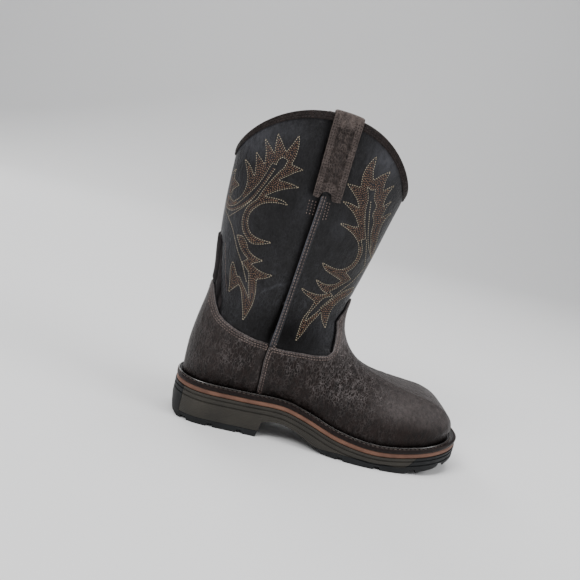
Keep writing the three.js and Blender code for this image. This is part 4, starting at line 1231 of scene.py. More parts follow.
# %% Pull straps
def pull_strap(side, word):
    across = np.linspace(-1, 1, 29)
    from_edge = (1 - np.abs(across)) * HALF_STRAP
    edge = 0.6 * bell(from_edge, 0.8)
    groove = 0.35 * np.exp(-((from_edge - 7.2) ** 2) / 1.2)
    rows, shade, pale_tone = [], [], []
    for rise in np.linspace(-STRAP_DROP, 0, 66):
        local = rise + STRAP_END(across) * ease((-rise - STRAP_DROP + 12) / 12)
        wrinkle = wrinkle_lift(across, local)
        out = leg_out(rise) + STRAP_THICKNESS - edge + wrinkle - groove
        rows.append(strap_place(side, across, local, out))
        # painted shade in the wrinkles' troughs and in the groove
        shade.append(np.clip(-0.9 * wrinkle + 0.5 * groove, 0, 1))
        middle = ease((7.5 - np.abs(across) * HALF_STRAP) / 2 + 0.5)
        middle *= ease((local + STRAP_DROP - 12) / 4) * ease(-(local + 6) / 6)
        pale_tone.append(0.26 - 0.2 * middle + 0.12 * ease((local + 14) / 10))
    for turn in np.linspace(0, math.pi, 15)[1:-1]:
        reach = WALL / 2 + LEG_OVER_BINDING + STRAP_THICKNESS - edge
        rise = (STRAP_LOOP + STRAP_THICKNESS - edge) * math.sqrt(math.sin(turn))
        out = -WALL / 2 + reach * math.copysign(math.sqrt(abs(math.cos(turn))), math.cos(turn))
        rows.append(strap_place(side, across, rise, out))
        shade.append(0 * across)
        pale_tone.append(0.4 + 0 * across)
    for rise in np.linspace(0, -STRAP_INNER_DROP, 46):
        out = -WALL - leg_out(rise) - STRAP_THICKNESS + edge
        rows.append(strap_place(side, across, rise + 0 * across, out))
        shade.append(0 * across)
        pale_tone.append(0.15 + 0 * across)
    points, shade, pale_tone = np.array(rows), np.array(shade), np.array(pale_tone)
    if side > 0:
        points, shade, pale_tone = points[:, ::-1], shade[:, ::-1], pale_tone[:, ::-1]
    name = "pull_strap_leather_" + word
    strap = sheet_object(name, points, shade=shade, rubbed=pale_tone, flex=0.4 + 0 * shade)
    give(strap, STRAP_LEATHER)
    finish_leather(strap, STRAP_THICKNESS)
    show_as(strap, "pull_strap_" + word, "brown_leather")


for side, word in SIDES:
    pull_strap(side, word)

# %% [markdown]
# ## Welt and midsole stripe
# Both are strips that run all round the sole. A short section is drawn in from the sole's edge and
# swept along the plan outline; the welt has a stitch groove and a waxed ridge against the upper.


# %% Strips round the sole
def stations(first, last):
    """Places along the sole, close together at the rounded ends."""
    turn = np.linspace(0, math.pi / 2, 25)
    heel = first + (46 - first) * (1 - np.cos(turn[:-1]))
    toe = SOLE_LENGTH - 56 + (last - SOLE_LENGTH + 56) * np.sin(turn)
    return np.r_[heel, np.linspace(46, SOLE_LENGTH - 56, 61)[:-1], toe]


def outline_ring(inset, rise):
    """The sole's outline, drawn in by an inset, at a height over the seat line."""
    x = stations(inset["heel"], SOLE_LENGTH - inset["toe"])
    outer = np.stack([x, centre_y(x) - outline_breadth(-1, x, inset), seat_z(x) + rise], 1)
    x = x[-2:0:-1]
    inner = np.stack([x, centre_y(x) + outline_breadth(1, x, inset), seat_z(x) + rise], 1)
    return np.concatenate([outer, inner])


def even(depth):
    return {"heel": depth, "side": depth, "toe": depth}


def sweep_strip(name, section):
    """A closed section of (inset, height over the seat line) swept round the sole."""
    rows = np.array([outline_ring(inset, rise) for inset, rise in section + section[:1]])
    strip = sheet_object(name, closed(rows))
    merge_points(strip)
    bpy.ops.object.shade_smooth_by_angle(angle=math.radians(50))
    return strip


print("points round the sole:", len(outline_ring(even(0.0), 0.0)))

# %% Welt
RIDGE_INNER = CLEARANCE + VAMP_THICKNESS + 1.8  # how far outside the feather line the ridge starts


def welt_inset(place):
    """place(width) gives an inset for the width of welt that shows outside the ridge's foot."""
    return {key: place(reach - RIDGE_INNER) for key, reach in WELT_REACH.items()}


WELT_TOP = [  # inset as share * (width - back) + more, height over the seat line
    (0.08, 1.9, 0.08, -0.5), (0.25, 1.9, 0.1, -0.08), (0.6, 1.9, 0.1, 0.05), (1, 1.95, 0, -0.05),  # band
    (1, 1.75, 0, -0.6), (1, 1.5, 0, -0.6),  # groove
    (1, 1.35, 0, 0.5), (1, 1.1, 0, 1.15), (1, 0.7, 0, 1.45), (1, 0.3, 0, 1.2), (1, 0.05, 0, 0.6),  # ridge
    (1, -0.1, 0, 0.0),
]
WELT_SECTION = [
    (even(0.5), -WELT_THICKNESS), (even(0.1), -WELT_THICKNESS + 0.5), (even(0.0), -2.4), (even(0.05), -1.3),
]
for share, back, more, rise in WELT_TOP:
    WELT_SECTION.append((welt_inset(lambda width: share * (width - back) + more), rise))
WELT_SECTION += [(even(15.0), 0.0), (even(15.0), -WELT_THICKNESS)]
WELT_FINISH = (0, 2, 2, 2, 2, 2, 0, 0, 0, 0, 1, 1, 1, 1, 1, 0, 0, 0)  # 0 wax, 1 ridge, 2 band
welt = sweep_strip("welt_strip", WELT_SECTION)
give(welt, WELT_WAX, WELT_RIDGE, WELT_BAND)
show_as(welt, "welt", "welt_leather")
around = len(outline_ring(even(0.0), 0.0))
for face in welt.data.polygons:
    face.material_index = WELT_FINISH[face.index // around % len(WELT_FINISH)]

# %% Midsole stripe
STRIPE_TOP = -WELT_THICKNESS - CLEARANCE
STRIPE_LOW = STRIPE_TOP - STRIPE_THICKNESS
STRIPE_SECTION = [
    (even(1.3), STRIPE_LOW), (even(0.85), STRIPE_LOW + 0.35), (even(0.65), STRIPE_LOW + 1.2),
    (even(0.6), STRIPE_LOW + 2.3), (even(0.65), STRIPE_TOP - 1.2), (even(0.85), STRIPE_TOP - 0.35),
    (even(1.3), STRIPE_TOP), (even(16.0), STRIPE_TOP), (even(16.0), STRIPE_LOW),
]
stripe = sweep_strip("midsole_strip", STRIPE_SECTION)
give(stripe, MIDSOLE)
show_as(stripe, "midsole_stripe", "tan_midsole")

# %% [markdown]
# ## Rubber sole
# The rubber under the stripe is moulded in one mould from two colours. Its plan outline is stood up
# as a prism and cut by the prism of its side view, which holds the heel, the arch, the toe spring
# and the gaps between the lugs. The same kind of cut parts the grey unit from the black lugs.

# %% Side view of the rubber
TREAD_THICKNESS = 6.5
HEEL_LENGTH, HEEL_SLANT, HEEL_RAKE, HEEL_BEVEL = 93.0, 3.0, 4.0, 6.0
LUG_DEPTH, LUG_GAP = 3.2, 5.0
LUG_GAPS_HEEL = [0.055, 0.145, 0.245]
LUG_GAPS_FRONT = [0.585, 0.71, 0.835, 0.935]
TOE_WRAP, HEEL_WRAP, TREAD_FROM = 0.835, 0.036, 0.48
BODY_TOP = STRIPE_LOW - CLEARANCE


def under_z(x):
    return float(np.maximum(UNDER(x / SOLE_LENGTH), 0)) * SEAT_HEIGHT


def notched(points, shares, height):
    """Adds the gaps between lugs to a line of the side view."""
    for share in shares:
        x = share * SOLE_LENGTH
        z, half = height(x), LUG_GAP / 2
        points += [(x - half - 1, z), (x - half, z + LUG_DEPTH)]
        points += [(x + half, z + LUG_DEPTH), (x + half + 1, z)]
    return sorted(points)


def body_side():
    """Side view of all the rubber: heel, arch, toe spring and lugs, under a roof that follows the welt."""
    sole_of_heel = [(HEEL_RAKE + HEEL_BEVEL, 0), (HEEL_LENGTH - HEEL_SLANT, 0)]
    heel = notched(sole_of_heel, LUG_GAPS_HEEL, lambda x: 0.0)
    front = []
    for x in np.linspace(UNDER_LINE[0][0], 1, 60) * SOLE_LENGTH:
        if all(abs(share * SOLE_LENGTH - x) > LUG_GAP for share in LUG_GAPS_FRONT):
            front.append((float(x), under_z(x)))
    front = notched(front, LUG_GAPS_FRONT, under_z)
    back = [(-0.4, HEEL_BEVEL * 3.4), (HEEL_RAKE * 0.45, HEEL_BEVEL * 1.7), (HEEL_RAKE, HEEL_BEVEL * 0.6)]
    breast = [(HEEL_LENGTH, UNDER_LINE[0][1] * SEAT_HEIGHT - 1.5)]
    end = [(SOLE_LENGTH + 2, under_z(SOLE_LENGTH) + 0.8)]
    roof = [(float(x), float(seat_z(x)) + BODY_TOP) for x in np.linspace(SOLE_LENGTH + 2, -2, 90)]
    return back + heel + breast + front + end + roof


def unit_side(grow):
    """Side view of the grey unit, from the black tread's upper face up."""
    first, last = HEEL_WRAP * SOLE_LENGTH - grow, TOE_WRAP * SOLE_LENGTH + grow
    heel, front = [], []
    for x in np.linspace(first, last, 60):
        if x < HEEL_LENGTH - 6:
            heel.append((float(x), TREAD_THICKNESS - grow))
        elif x > HEEL_LENGTH + 6:
            rise = TREAD_THICKNESS * float(ease((x / SOLE_LENGTH - TREAD_FROM) / 0.1))
            front.append((float(x), float(UNDER(x / SOLE_LENGTH)) * SEAT_HEIGHT + rise - grow))
    breast = [(HEEL_LENGTH + 3, TREAD_THICKNESS - grow), (HEEL_LENGTH + 5, TREAD_THICKNESS + 3)]
    front = [(x, z) for x, z in front if x < last - 6] + [(last - 6, front[-1][1])]
    low = front[-1][1]
    toe = [(last - 2, low + 5), (last + 4, low + 13), (last + 5, 70.0), (first, 70.0)]
    return heel + breast + front + toe


print("side view of the rubber:", len(body_side()), "points")


# %% Prisms and cuts
def prism(name, corners, pull):
    """A filled outline, extruded along a vector; both in millimetres."""
    bpy.ops.object.select_all(action="DESELECT")
    bpy.ops.mesh.primitive_circle_add(vertices=len(corners), fill_type="NGON")
    block = bpy.context.object
    block.name = block.data.name = name
    place_points(block, np.array(corners, float))
    bpy.ops.object.mode_set(mode="EDIT")
    bpy.ops.mesh.select_all(action="SELECT")
    bpy.ops.mesh.extrude_region_move(TRANSFORM_OT_translate={"value": [p * MM for p in pull]})
    bpy.ops.mesh.select_all(action="SELECT")
    bpy.ops.mesh.normals_make_consistent(inside=False)
    bpy.ops.object.mode_set(mode="OBJECT")
    return block


def side_prism(name, outline):
    return prism(name, [(x, -90, z) for x, z in outline], (0, 180, 0))


def cut(piece, tool, operation):
    """Cuts a piece with a tool piece and takes the tool away."""
    bpy.context.view_layer.objects.active = piece
    boolean = piece.modifiers.new("cut", "BOOLEAN")
    boolean.object = tool
    boolean.operation = operation
    boolean.solver = "MANIFOLD"
    bpy.ops.object.modifier_apply(modifier="cut")
    bpy.data.objects.remove(tool)


def copy_of(piece, name):
    double = piece.copy()
    double.data = piece.data.copy()
    double.name = double.data.name = name
    bpy.context.scene.collection.objects.link(double)
    return double


print("cutting tools ready")

# %% Rubber body
plan = outline_ring(even(0.0), 0.0)
rubber = prism("rubber", [(x, y, -5.0) for x, y, _ in plan], (0, 0, 60))
cut(rubber, side_prism("side_view", body_side()), "INTERSECT")
for depth in (2.2, 7.0):
    top = BODY_TOP - depth
    groove = [(even(0.9), top - 1.3), (even(-1.0), top - 1.5), (even(-1.0), top + 0.2), (even(0.9), top)]
    cut(rubber, sweep_strip("groove", groove), "DIFFERENCE")
unit = copy_of(rubber, "side_wall_unit")
cut(unit, side_prism("unit_view", unit_side(0.0)), "INTERSECT")
heel_lugs = copy_of(rubber, "black_heel_lugs")
cut(heel_lugs, side_prism("unit_view", unit_side(CLEARANCE)), "DIFFERENCE")
front_lugs = copy_of(heel_lugs, "black_front_lugs")
heel_side = [(-90, -40), (HEEL_LENGTH * 1.1, -40), (HEEL_LENGTH * 1.1, 80), (-90, 80)]
cut(heel_lugs, side_prism("heel_view", heel_side), "INTERSECT")
cut(front_lugs, side_prism("heel_view", heel_side), "DIFFERENCE")
bpy.data.objects.remove(rubber)
print("unit:", len(unit.data.polygons), "faces before its edges are rounded")


# %% Rounded moulded edges
def round_edges(piece, width):
    """Moulded rubber has no sharp edge: a small bevel where two faces meet at more than 32 degrees."""
    bpy.ops.object.select_all(action="DESELECT")
    piece.select_set(True)
    bpy.context.view_layer.objects.active = piece
    bevel = piece.modifiers.new("round", "BEVEL")
    bevel.width = width * MM
    bevel.segments = 2
    bevel.limit_method = "ANGLE"
    bevel.angle_limit = math.radians(32)
    bpy.ops.object.modifier_apply(modifier="round")
    bpy.ops.object.mode_set(mode="EDIT")
    bpy.ops.mesh.select_all(action="SELECT")
    bpy.ops.mesh.quads_convert_to_tris()
    bpy.ops.object.mode_set(mode="OBJECT")
    bpy.ops.object.shade_smooth_by_angle(angle=math.radians(38))
    points = np.array([v.co for v in piece.data.vertices]) / MM
    x = points[:, 0] + HEEL_LUG
    set_attribute(piece, "depth_mm", seat_z(x) + BODY_TOP - points[:, 2])


for piece, node, slot, material in (
    (unit, "sole_unit", "grey_rubber", SIDE_RUBBER),
    (heel_lugs, "tread_heel", "black_rubber", BLACK_RUBBER),
    (front_lugs, "tread_fore", "black_rubber", BLACK_RUBBER),
):
    round_edges(piece, 0.45)
    give(piece, material)
    show_as(piece, node, slot)

# %% [markdown]
# ## Insole
# The insole is a plain board that is hardly seen down the shaft, so its solid is used as it is.

# %% Insole
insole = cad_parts["insole"]
give(insole, LINING)
print("the insole keeps its solid and gets the lining's material")

# %% [markdown]
# ## Stitches
# Every seam on the boot is a row of short raised stitches. One stitch is modelled from a low sphere,
# drawn out along its thread, and copied along each row, half sunk in the leather. Rows that follow
# an edge are level curves of the distance from that edge, so they stay parallel to it everywhere.


# %% One stitch and its rows
def one_stitch():
    """Points and faces of a stitch one unit long, wide and high, lying along X."""
    bpy.ops.object.select_all(action="DESELECT")
    bpy.ops.mesh.primitive_uv_sphere_add(segments=6, ring_count=3, radius=0.5)
    ball = bpy.context.object
    bpy.ops.transform.rotate(value=math.pi / 2, orient_axis="Y", center_override=(0, 0, 0))
    bpy.ops.object.transform_apply(rotation=True)
    points = np.array([v.co for v in ball.data.vertices])
    points[:, 0] = np.sign(points[:, 0]) * 0.5 * (2 * np.abs(points[:, 0])) ** 0.75
    faces = [list(p.vertices) for p in ball.data.polygons]
    bpy.data.objects.remove(ball)
    return points, faces


STITCH_POINTS, STITCH_FACES = one_stitch()


def sew(name, material, rows, length, gap, width, height=0.5):
    """Copies the stitch along rows of (points, normals), in millimetres."""
    centres, along, out = [], [], []
    for points, normals_there in rows:
        arc = np.r_[0, np.cumsum(np.linalg.norm(np.diff(points, axis=0), axis=1))]
        count = int(arc[-1] // (length + gap))
        if count < 1:
            continue
        stops = (np.arange(count) + 0.5) * arc[-1] / count
        pick = lambda values, at: np.stack([np.interp(at, arc, values[:, c]) for c in range(3)], 1)
        half = length / 2
        a, b = pick(points, stops - half), pick(points, stops + half)
        centres.append((a + b) / 2)
        along.append(b - a)
        out.append(pick(normals_there, stops))
    centre, t, n = np.concatenate(centres), np.concatenate(along), np.concatenate(out)
    t /= np.maximum(np.linalg.norm(t, axis=1, keepdims=True), 1e-9)
    n -= t * (n * t).sum(1, keepdims=True)
    n /= np.maximum(np.linalg.norm(n, axis=1, keepdims=True), 1e-9)
    across = np.cross(n, t)
    shape = STITCH_POINTS
    copies = (
        centre[:, None]
        + t[:, None] * shape[None, :, :1] * length
        + across[:, None] * shape[None, :, 1:2] * width
        + n[:, None] * shape[None, :, 2:3] * height
    )
    copies = (copies.reshape(-1, 3) - np.array([HEEL_LUG, 0, 0])) * MM
    faces = [[k + len(shape) * c for k in face] for c in range(len(centre)) for face in STITCH_FACES]
    mesh = bpy.data.meshes.new(name)
    mesh.from_pydata(copies.tolist(), [], faces)
    mesh.shade_smooth()
    piece = bpy.data.objects.new(name, mesh)
    bpy.context.scene.collection.objects.link(piece)
    give(piece, material)
    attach(piece, "root")
    print(name + ":", len(centre), "stitches")


# %% Rows on the upper
def on_upper(side, line, lift):
    """Points and outward normals over the upper, from a line of the side view."""
    x, z = np.array(line, float).T
    step = 0.5

    def place(x, z):
        return np.stack([x, centre_y(x) + side * upper_breadth(side, x, z), z], 1)

    middle = place(x, z)
    ahead = place(x + step, z) - place(x - step, z)
    above = place(x, z + step) - place(x, z - step)
    normal = np.cross(ahead, above) * -side
    normal /= np.maximum(np.linalg.norm(normal, axis=1, keepdims=True), 1e-9)
    height = lift(middle) if callable(lift) else lift
    return middle + normal * np.reshape(height, (-1, 1)), normal


def level_curves(field, xs, zs, level):
    """Lines along which a field on a grid has one value, each a list of points."""
    high = field > level
    links = {}

    def join(a, b):
        links.setdefault(a, []).append(b)
        links.setdefault(b, []).append(a)

    mixed = high[:-1, :-1].astype(int) + high[:-1, 1:] + high[1:, 1:] + high[1:, :-1]
    for i, j in np.argwhere((mixed > 0) & (mixed < 4)):
        corners = [(i, j), (i, j + 1), (i + 1, j + 1), (i + 1, j)]
        sides = [tuple(sorted((corners[k], corners[(k + 1) % 4]))) for k in range(4)]
        cut_sides = [s for s in sides if high[s[0]] != high[s[1]]]
        for k in range(0, len(cut_sides), 2):
            join(cut_sides[k], cut_sides[k + 1])

    def crossing(pair):
        a, b = pair
        t = (level - field[a]) / (field[b] - field[a])
        return mix(xs[a[1]], xs[b[1]], t), mix(zs[a[0]], zs[b[0]], t)

    lines = []
    while links:
        here = next((k for k, v in links.items() if len(v) == 1), next(iter(links)))
        path = [here]
        while links.get(here):
            after = links[here].pop()
            links[after].remove(here)
            if not links[here]:
                del links[here]
            here = after
            path.append(here)
        links.pop(here, None)
        if len(path) > 4:
            lines.append([crossing(pair) for pair in path])
    return lines


def runs(line, test, least):
    """The parts of a line where a test holds, each a list of more than a least number of points."""
    found, part = [], []
    for point in list(line) + [None]:
        if point is not None and test(*point):
            part.append(tuple(point))
            continue
        if len(part) > least:
            found.append(part)
        part = []
    return found


def edge_rows(outline, depths, box, step=0.8, keep=None):
    """Rows parallel to an outline at some depths inside it, within a box of the side view."""
    x0, x1, z0, z1 = box
    xs, zs = np.arange(x0, x1, step), np.arange(z0, z1, step)
    grid_x, grid_z = np.meshgrid(xs, zs)
    field = edge_distance(grid_x, grid_z, outline)
    if keep is not None:
        field = np.where(keep(grid_x, grid_z), field, np.nan)
    rows = []
    for depth in depths:
        rows += level_curves(np.nan_to_num(field, nan=-99.0), xs, zs, depth)
    if keep is None:
        return rows

    def in_reach(x, z):
        x, z = np.array(x), np.array(z)
        return keep(x, z) and abs(float(edge_distance(x, z, outline))) < max(depths) + 1

    return [part for row in rows for part in runs(row, in_reach, 4)]


print("sewing tools ready")

# %% [markdown]
# ## Flame stitching chart
# The shaft carries a traditional pattern of flames, sewn in rows. Its outlines are charted
# as shares along the sole and up the shaft; sharp turns stay sharp and the rest is curved.

# %% Flame stitching chart
CROWN_BACK = [
    (0.058, 0.793), (0.043, 0.774), (0.046, 0.750), (0.066, 0.738), (0.050, 0.721), (0.045, 0.695),
    (0.057, 0.687), (0.074, 0.705), (0.084, 0.731), (0.084, 0.764), (0.074, 0.791), (0.060, 0.819),
    (0.082, 0.804), (0.103, 0.777), (0.099, 0.813), (0.089, 0.850), (0.107, 0.833), (0.125, 0.818),
    (0.121, 0.851), (0.107, 0.891), (0.128, 0.873), (0.147, 0.854), (0.144, 0.888), (0.144, 0.914),
    (0.163, 0.890), (0.181, 0.867), (0.193, 0.888), (0.209, 0.924), (0.215, 0.893), (0.214, 0.861),
    (0.207, 0.835), (0.248, 0.828), (0.222, 0.814), (0.198, 0.796), (0.180, 0.783), (0.215, 0.782),
    (0.250, 0.776), (0.219, 0.767), (0.185, 0.752), (0.149, 0.728), (0.187, 0.730), (0.210, 0.728),
    (0.230, 0.717), (0.200, 0.718), (0.169, 0.713), (0.146, 0.703), (0.128, 0.686), (0.117, 0.666),
    (0.117, 0.641), (0.129, 0.617), (0.152, 0.605), (0.209, 0.602), (0.175, 0.589), (0.144, 0.583),
    (0.124, 0.594), (0.106, 0.613), (0.097, 0.641), (0.098, 0.669), (0.107, 0.691), (0.126, 0.713),
    (0.138, 0.741), (0.154, 0.773), (0.174, 0.806), (0.184, 0.819), (0.192, 0.843), (0.175, 0.848),
    (0.165, 0.838), (0.162, 0.821), (0.148, 0.825), (0.140, 0.800), (0.127, 0.767), (0.107, 0.732),
    (0.085, 0.700), (0.065, 0.677), (0.047, 0.668), (0.034, 0.680), (0.033, 0.711), (0.032, 0.741),
    (0.036, 0.772),
]
TAIL_BACK = [
    (0.090, 0.596), (0.111, 0.598), (0.127, 0.583), (0.140, 0.562), (0.166, 0.548), (0.195, 0.543),
    (0.176, 0.534), (0.158, 0.524), (0.175, 0.515), (0.203, 0.508), (0.235, 0.508), (0.210, 0.492),
    (0.185, 0.483), (0.191, 0.451), (0.192, 0.410), (0.184, 0.377), (0.172, 0.345), (0.166, 0.375),
    (0.155, 0.410), (0.143, 0.438), (0.133, 0.452), (0.119, 0.435), (0.108, 0.417), (0.102, 0.456),
    (0.095, 0.498), (0.098, 0.518), (0.112, 0.497), (0.126, 0.474), (0.129, 0.482), (0.147, 0.458),
    (0.174, 0.422), (0.164, 0.454), (0.155, 0.495), (0.140, 0.509), (0.123, 0.520), (0.132, 0.527),
    (0.142, 0.536), (0.119, 0.553), (0.104, 0.573),
]
CROWN_FRONT = [
    (0.457, 0.918), (0.440, 0.892), (0.430, 0.863), (0.430, 0.837), (0.432, 0.819), (0.410, 0.820),
    (0.384, 0.821), (0.408, 0.802), (0.432, 0.780), (0.444, 0.760), (0.412, 0.767), (0.381, 0.769),
    (0.409, 0.755), (0.436, 0.736), (0.460, 0.705), (0.445, 0.702), (0.417, 0.705), (0.391, 0.703),
    (0.417, 0.694), (0.445, 0.681), (0.471, 0.659), (0.482, 0.635), (0.481, 0.605), (0.468, 0.584),
    (0.445, 0.569), (0.413, 0.569), (0.371, 0.580), (0.391, 0.557), (0.421, 0.545), (0.454, 0.532),
    (0.439, 0.520), (0.406, 0.514), (0.365, 0.526), (0.382, 0.507), (0.400, 0.492), (0.417, 0.487),
    (0.395, 0.480), (0.361, 0.482), (0.324, 0.493), (0.344, 0.475), (0.366, 0.464), (0.383, 0.456),
    (0.373, 0.427), (0.361, 0.401), (0.356, 0.366), (0.353, 0.318), (0.368, 0.344), (0.386, 0.379),
    (0.405, 0.409), (0.413, 0.425), (0.423, 0.402), (0.444, 0.374), (0.444, 0.407), (0.448, 0.438),
    (0.463, 0.463), (0.487, 0.483), (0.505, 0.499), (0.509, 0.516), (0.486, 0.508), (0.456, 0.488),
    (0.429, 0.459), (0.400, 0.426), (0.372, 0.391), (0.375, 0.413), (0.392, 0.443), (0.409, 0.468),
    (0.418, 0.474), (0.440, 0.481), (0.424, 0.494), (0.443, 0.506), (0.466, 0.523), (0.488, 0.541),
    (0.462, 0.560), (0.484, 0.581), (0.496, 0.610), (0.496, 0.637), (0.482, 0.667), (0.497, 0.672),
    (0.480, 0.713), (0.469, 0.757), (0.467, 0.793), (0.454, 0.824), (0.468, 0.816), (0.482, 0.821),
    (0.485, 0.794), (0.499, 0.775), (0.495, 0.747), (0.506, 0.727), (0.507, 0.696), (0.518, 0.659),
    (0.529, 0.627), (0.544, 0.608), (0.542, 0.640), (0.538, 0.680), (0.538, 0.716), (0.546, 0.742),
    (0.566, 0.768), (0.546, 0.757), (0.529, 0.745), (0.536, 0.774), (0.553, 0.804), (0.537, 0.791),
    (0.523, 0.778), (0.526, 0.811), (0.544, 0.849), (0.525, 0.836), (0.509, 0.823), (0.508, 0.853),
    (0.516, 0.885), (0.487, 0.865), (0.468, 0.848), (0.460, 0.870), (0.459, 0.893),
]
STEMS = {
    "back": [
        (0.158, 0.813), (0.145, 0.780), (0.129, 0.745), (0.112, 0.712),
        (0.081, 0.678), (0.055, 0.661), (0.037, 0.668), (0.031, 0.681),
    ],
    "side": [(0.113, 0.707), (0.091, 0.679), (0.055, 0.640)],
    "long": [(0.040, 0.652), (0.070, 0.615), (0.101, 0.559), (0.129, 0.515), (0.157, 0.467)],
    "front": [(0.477, 0.786), (0.487, 0.736), (0.500, 0.685), (0.516, 0.646), (0.539, 0.613)],
    "short": [(0.499, 0.672), (0.509, 0.638), (0.519, 0.600), (0.522, 0.586)],
    "cross": [
        (0.538, 0.596), (0.519, 0.573), (0.493, 0.532), (0.468, 0.507), (0.441, 0.478), (0.407, 0.438),
    ],
}


def curved(corners):
    """A closed outline in millimetres: corners over 50 degrees stay, the points between are splined."""
    points = np.array(sized(corners))
    before, after = points - np.roll(points, 1, 0), np.roll(points, -1, 0) - points
    turn = np.arctan2(
        before[:, 0] * after[:, 1] - before[:, 1] * after[:, 0], (before * after).sum(1)
    )
    sharp = [int(k) for k in np.argwhere(np.abs(turn) > math.radians(50)).ravel()]
    line = []
    for a, b in zip(sharp, sharp[1:] + [sharp[0] + len(points)]):
        run = [points[k % len(points)] for k in range(a, b + 1)]
        if len(run) > 2:
            run = list(spline_through(run, 4 * len(run))[0])
        line += [tuple(p) for p in run[:-1]]
    return line


FLAMES = [curved(corners) for corners in (CROWN_BACK, TAIL_BACK, CROWN_FRONT)]
print("points of the flame outlines:", [len(outline) for outline in FLAMES])


# %% [markdown]
# ## Flame stitching
# A cream row follows each outline and four amber rows fill the band inside it. A real flame is sewn
# one row after the other with a presser foot as guide, which keeps the rows at one distance.

# %% Flame stitching
def flame_rows(outline, depths):
    xs_all, zs_all = np.array(outline).T
    box = (xs_all.min() - 2, xs_all.max() + 2, zs_all.min() - 2, zs_all.max() + 2)
    return edge_rows(outline, depths, box, step=0.5)


def shaft_lift(points):
    return 0.12 + crease_lift(points, SHAFT_CREASES)


FRONT_EDGE = net[:, BEHIND + AHEAD]


def lay(side, lines, lift=shaft_lift):
    """Rows over one side of the upper; where a line leaves the side view it is left out."""
    def on_leather(x, z):
        rear = np.interp(z, net[:, 0, 2], net[:, 0, 0])
        front = np.interp(z, FRONT_EDGE[:, 2], FRONT_EDGE[:, 0])
        return rear + 1.2 < x < front - 1.2

    return [on_upper(side, run, lift) for line in lines for run in runs(line, on_leather, 3)]


cream_lines, amber_lines = [], []
for outline in FLAMES:
    cream_lines += flame_rows(outline, [0.35])
    amber_lines += flame_rows(outline, [1.8, 3.25, 4.7, 6.15])
for name, line in STEMS.items():
    fine = spline_through(sized(line), 40)[0]
    side_step = np.gradient(fine, axis=0)[:, ::-1] * np.array([1, -1])
    side_step /= np.linalg.norm(side_step, axis=1, keepdims=True)
    if name == "back":
        amber_lines.append((fine + side_step * 0.7).tolist())
        cream_lines.append((fine - side_step * 0.7).tolist())
    else:
        cream_lines.append(fine.tolist())
for side, word in SIDES:
    rows = lay(side, cream_lines)
    sew("flame_outline_stitches_" + word, CREAM_THREAD, rows, 1.5, 0.8, 0.8)
    rows = lay(side, amber_lines)
    sew("flame_fill_stitches_" + word, AMBER_THREAD, rows, 1.25, 1.0, 0.66)


# %% [markdown]
# ## Seam stitching
# Two brown rows hold the vamp, three the counter's top, and two the seam lap. They lie on the cover
# pieces, so each row rises and falls with that leather's creases.

# %% Seam stitching
SEAM_DEPTHS = (1.7, 4.0, 6.3)  # of the rows inside an edge
HEEL_TURN = 16.5  # from here back the counter's rows are carried round the heel at one height


def vamp_top(points):
    return CLEARANCE + VAMP_THICKNESS + 0.1 + crease_lift(points, VAMP_CREASES)


def counter_top(points):
    return CLEARANCE + COUNTER_THICKNESS + 0.1 + crease_lift(points, COUNTER_CREASES)


def near_vamp_edge(x, z):
    from_edge = line_distance(np.atleast_1d(x), np.atleast_1d(z), sized(VAMP_EDGE))
    return (z > seat_z(x) + 2.5) & (from_edge.reshape(np.shape(x)) < 7.5)


def near_counter_edge(x, z):
    above = z > 0.2 * SHAFT_HEIGHT
    behind = -edge_distance(np.atleast_1d(x), np.atleast_1d(z), VAMP_OUTLINE).reshape(np.shape(x))
    return above & (behind > 1.2) & (x > HEEL_TURN)


vamp_lines = edge_rows(VAMP_OUTLINE, SEAM_DEPTHS[:2], (78, 160, 20, 156), keep=near_vamp_edge)
# the counter's top edge, carried on under the vamp so that its rows run out to the joint
COUNTER_TOP = sized(COUNTER_EDGE[:11] + [(0.34, 0.2900), (0.34, -0.1), (-0.05, -0.1)])
counter_lines = edge_rows(COUNTER_TOP, SEAM_DEPTHS, (12, 84, 60, 140), keep=near_counter_edge)


def heel_row(depth):
    """The counter's top row, carried round the back at one height."""
    columns = [*range(-14, 14)]
    height = 0.4275 * SHAFT_HEIGHT - depth
    shape = [[np.interp(height, net[:, c, 2], net[:, c, k]) for k in range(3)] for c in columns]
    out = [[np.interp(height, net[:, c, 2], normals[:, c, k]) for k in range(3)] for c in columns]
    points, out = np.array(shape), np.array(out)
    near = points[:, 0] < HEEL_TURN
    return points[near] + out[near] * (CLEARANCE + COUNTER_THICKNESS + 0.1), out[near]


for side, word in SIDES:
    rows = lay(side, vamp_lines, vamp_top) + lay(side, counter_lines, counter_top)
    if side < 0:
        rows += [heel_row(depth) for depth in SEAM_DEPTHS]
    sew("foot_seam_stitches_" + word, BROWN_THREAD, rows, 2.1, 0.7, 0.75)
    rows = []
    for past, above in ((1.7, 0.1), (4.2, -0.1)):
        line = seam_points(0.3, LAP_TO, 60, past)
        rows += lay(side, [line], CLEARANCE + LAP_THICKNESS + above)
    sew("seam_lap_stitches_" + word, BROWN_THREAD, rows, 2.2, 0.9, 0.85, 0.6)

# %% [markdown]
# ## Bar stitches below the strap
# The strap's end is sewn down with two blocks of short rows beside the seam, a small cross fastens
# the foot of the lap, and one row follows the stretch panel's edge.

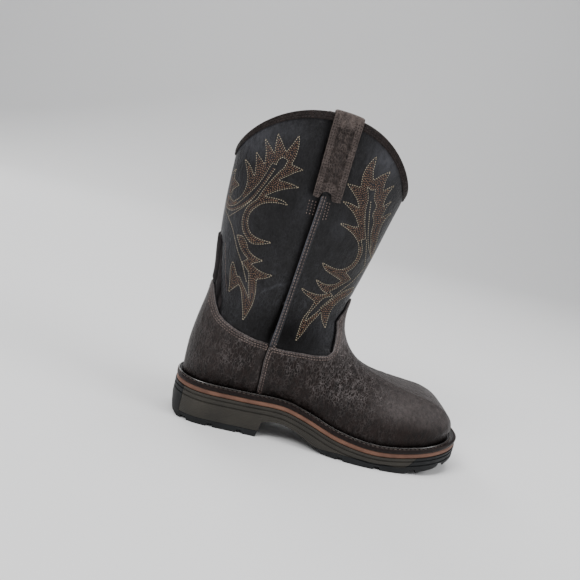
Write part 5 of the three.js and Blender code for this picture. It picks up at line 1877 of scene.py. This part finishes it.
# %% Bar stitches below the strap
BAR_ROWS = [  # along and up at the top, then the same at the bottom
    [(0.286, 0.752), (0.286, 0.706)], [(0.296, 0.752), (0.296, 0.706)], [(0.306, 0.752), (0.306, 0.706)],
    [(0.341, 0.756), (0.341, 0.700)], [(0.350, 0.756), (0.350, 0.702)],
]
TACK = [  # the cross at the lap's foot
    [(0.2790, 0.3030), (0.3020, 0.2880)], [(0.2990, 0.3060), (0.2850, 0.2830)],
]
GUSSET_ROW = [(0.062, 0.560), (0.078, 0.50), (0.088, 0.46), (0.103, 0.42)]
bar_lines, tack_lines = (
    [np.linspace(*np.array(sized(row)), 12).tolist() for row in rows] for rows in (BAR_ROWS, TACK)
)
gusset_lines = [spline_through(sized(GUSSET_ROW), 40)[0].tolist()]
for side, word in SIDES:
    rows = lay(side, bar_lines, shaft_lift) + lay(side, tack_lines, CLEARANCE + LAP_THICKNESS + 0.3)
    sew("bar_stitches_" + word, BROWN_THREAD, rows, 1.5, 1.0, 0.85, 0.6)
    rows = lay(side, gusset_lines, shaft_lift)
    sew("panel_seam_stitches_" + word, BROWN_THREAD, rows, 1.6, 0.9, 0.75, 0.5)

# %% [markdown]
# ## Collar, strap and welt stitching
# Dark rows hold the binding and border the pull straps. The welt is sewn with the thickest thread:
# waxed, with long stitches that lie in the groove beside the ridge.

# %% Collar, strap and welt stitching
collar_rows = []
for depth in (2.6, 5.0):
    far = 1.4 * CLEARANCE + BINDING_THICKNESS + 0.1
    line = closed((collar + collar_out * far - collar_rise * depth)[None])[0]
    collar_rows.append((line, closed(collar_out[None])[0]))
sew("collar_stitches", DARK_THREAD, collar_rows, 2.1, 0.8, 0.7)


def strap_row(side, across, rise):
    """A stitch row on a strap's outer leg."""
    out = leg_out(rise) + STRAP_THICKNESS + 0.1
    points = strap_place(side, across, rise, out)
    normal = np.zeros_like(points)
    normal[:, 1] = side
    return points, normal


strap_rows = []
for side in (-1, 1):
    for inset in (1.6, 4.0, 6.2):
        share = 1 - inset / HALF_STRAP
        down = np.linspace(-2, -STRAP_DROP + 1.5, 60)
        strap_rows += [strap_row(side, np.full(60, s), down) for s in (-share, share)]
    across = np.linspace(-0.88, 0.88, 40)
    for up in (2.0, 4.4, 6.8):
        strap_rows.append(strap_row(side, across, -STRAP_DROP + up + STRAP_END(across)))
sew("pull_strap_stitches", DARK_THREAD, strap_rows, 1.2, 1.4, 1.3)

welt_line = closed(outline_ring(welt_inset(lambda w: w - 1.75), -0.25)[None])[0]
up_all = np.tile([0.0, 0.0, 1.0], (len(welt_line), 1))
WELT_THREAD = plain("waxed_welt_thread", "#4d4240", "#75665f", 4, 0.45, 0.4, 0.12)
sew("welt_stitches", WELT_THREAD, [(welt_line, up_all)], 3.6, 1.0, 0.95, 0.9)
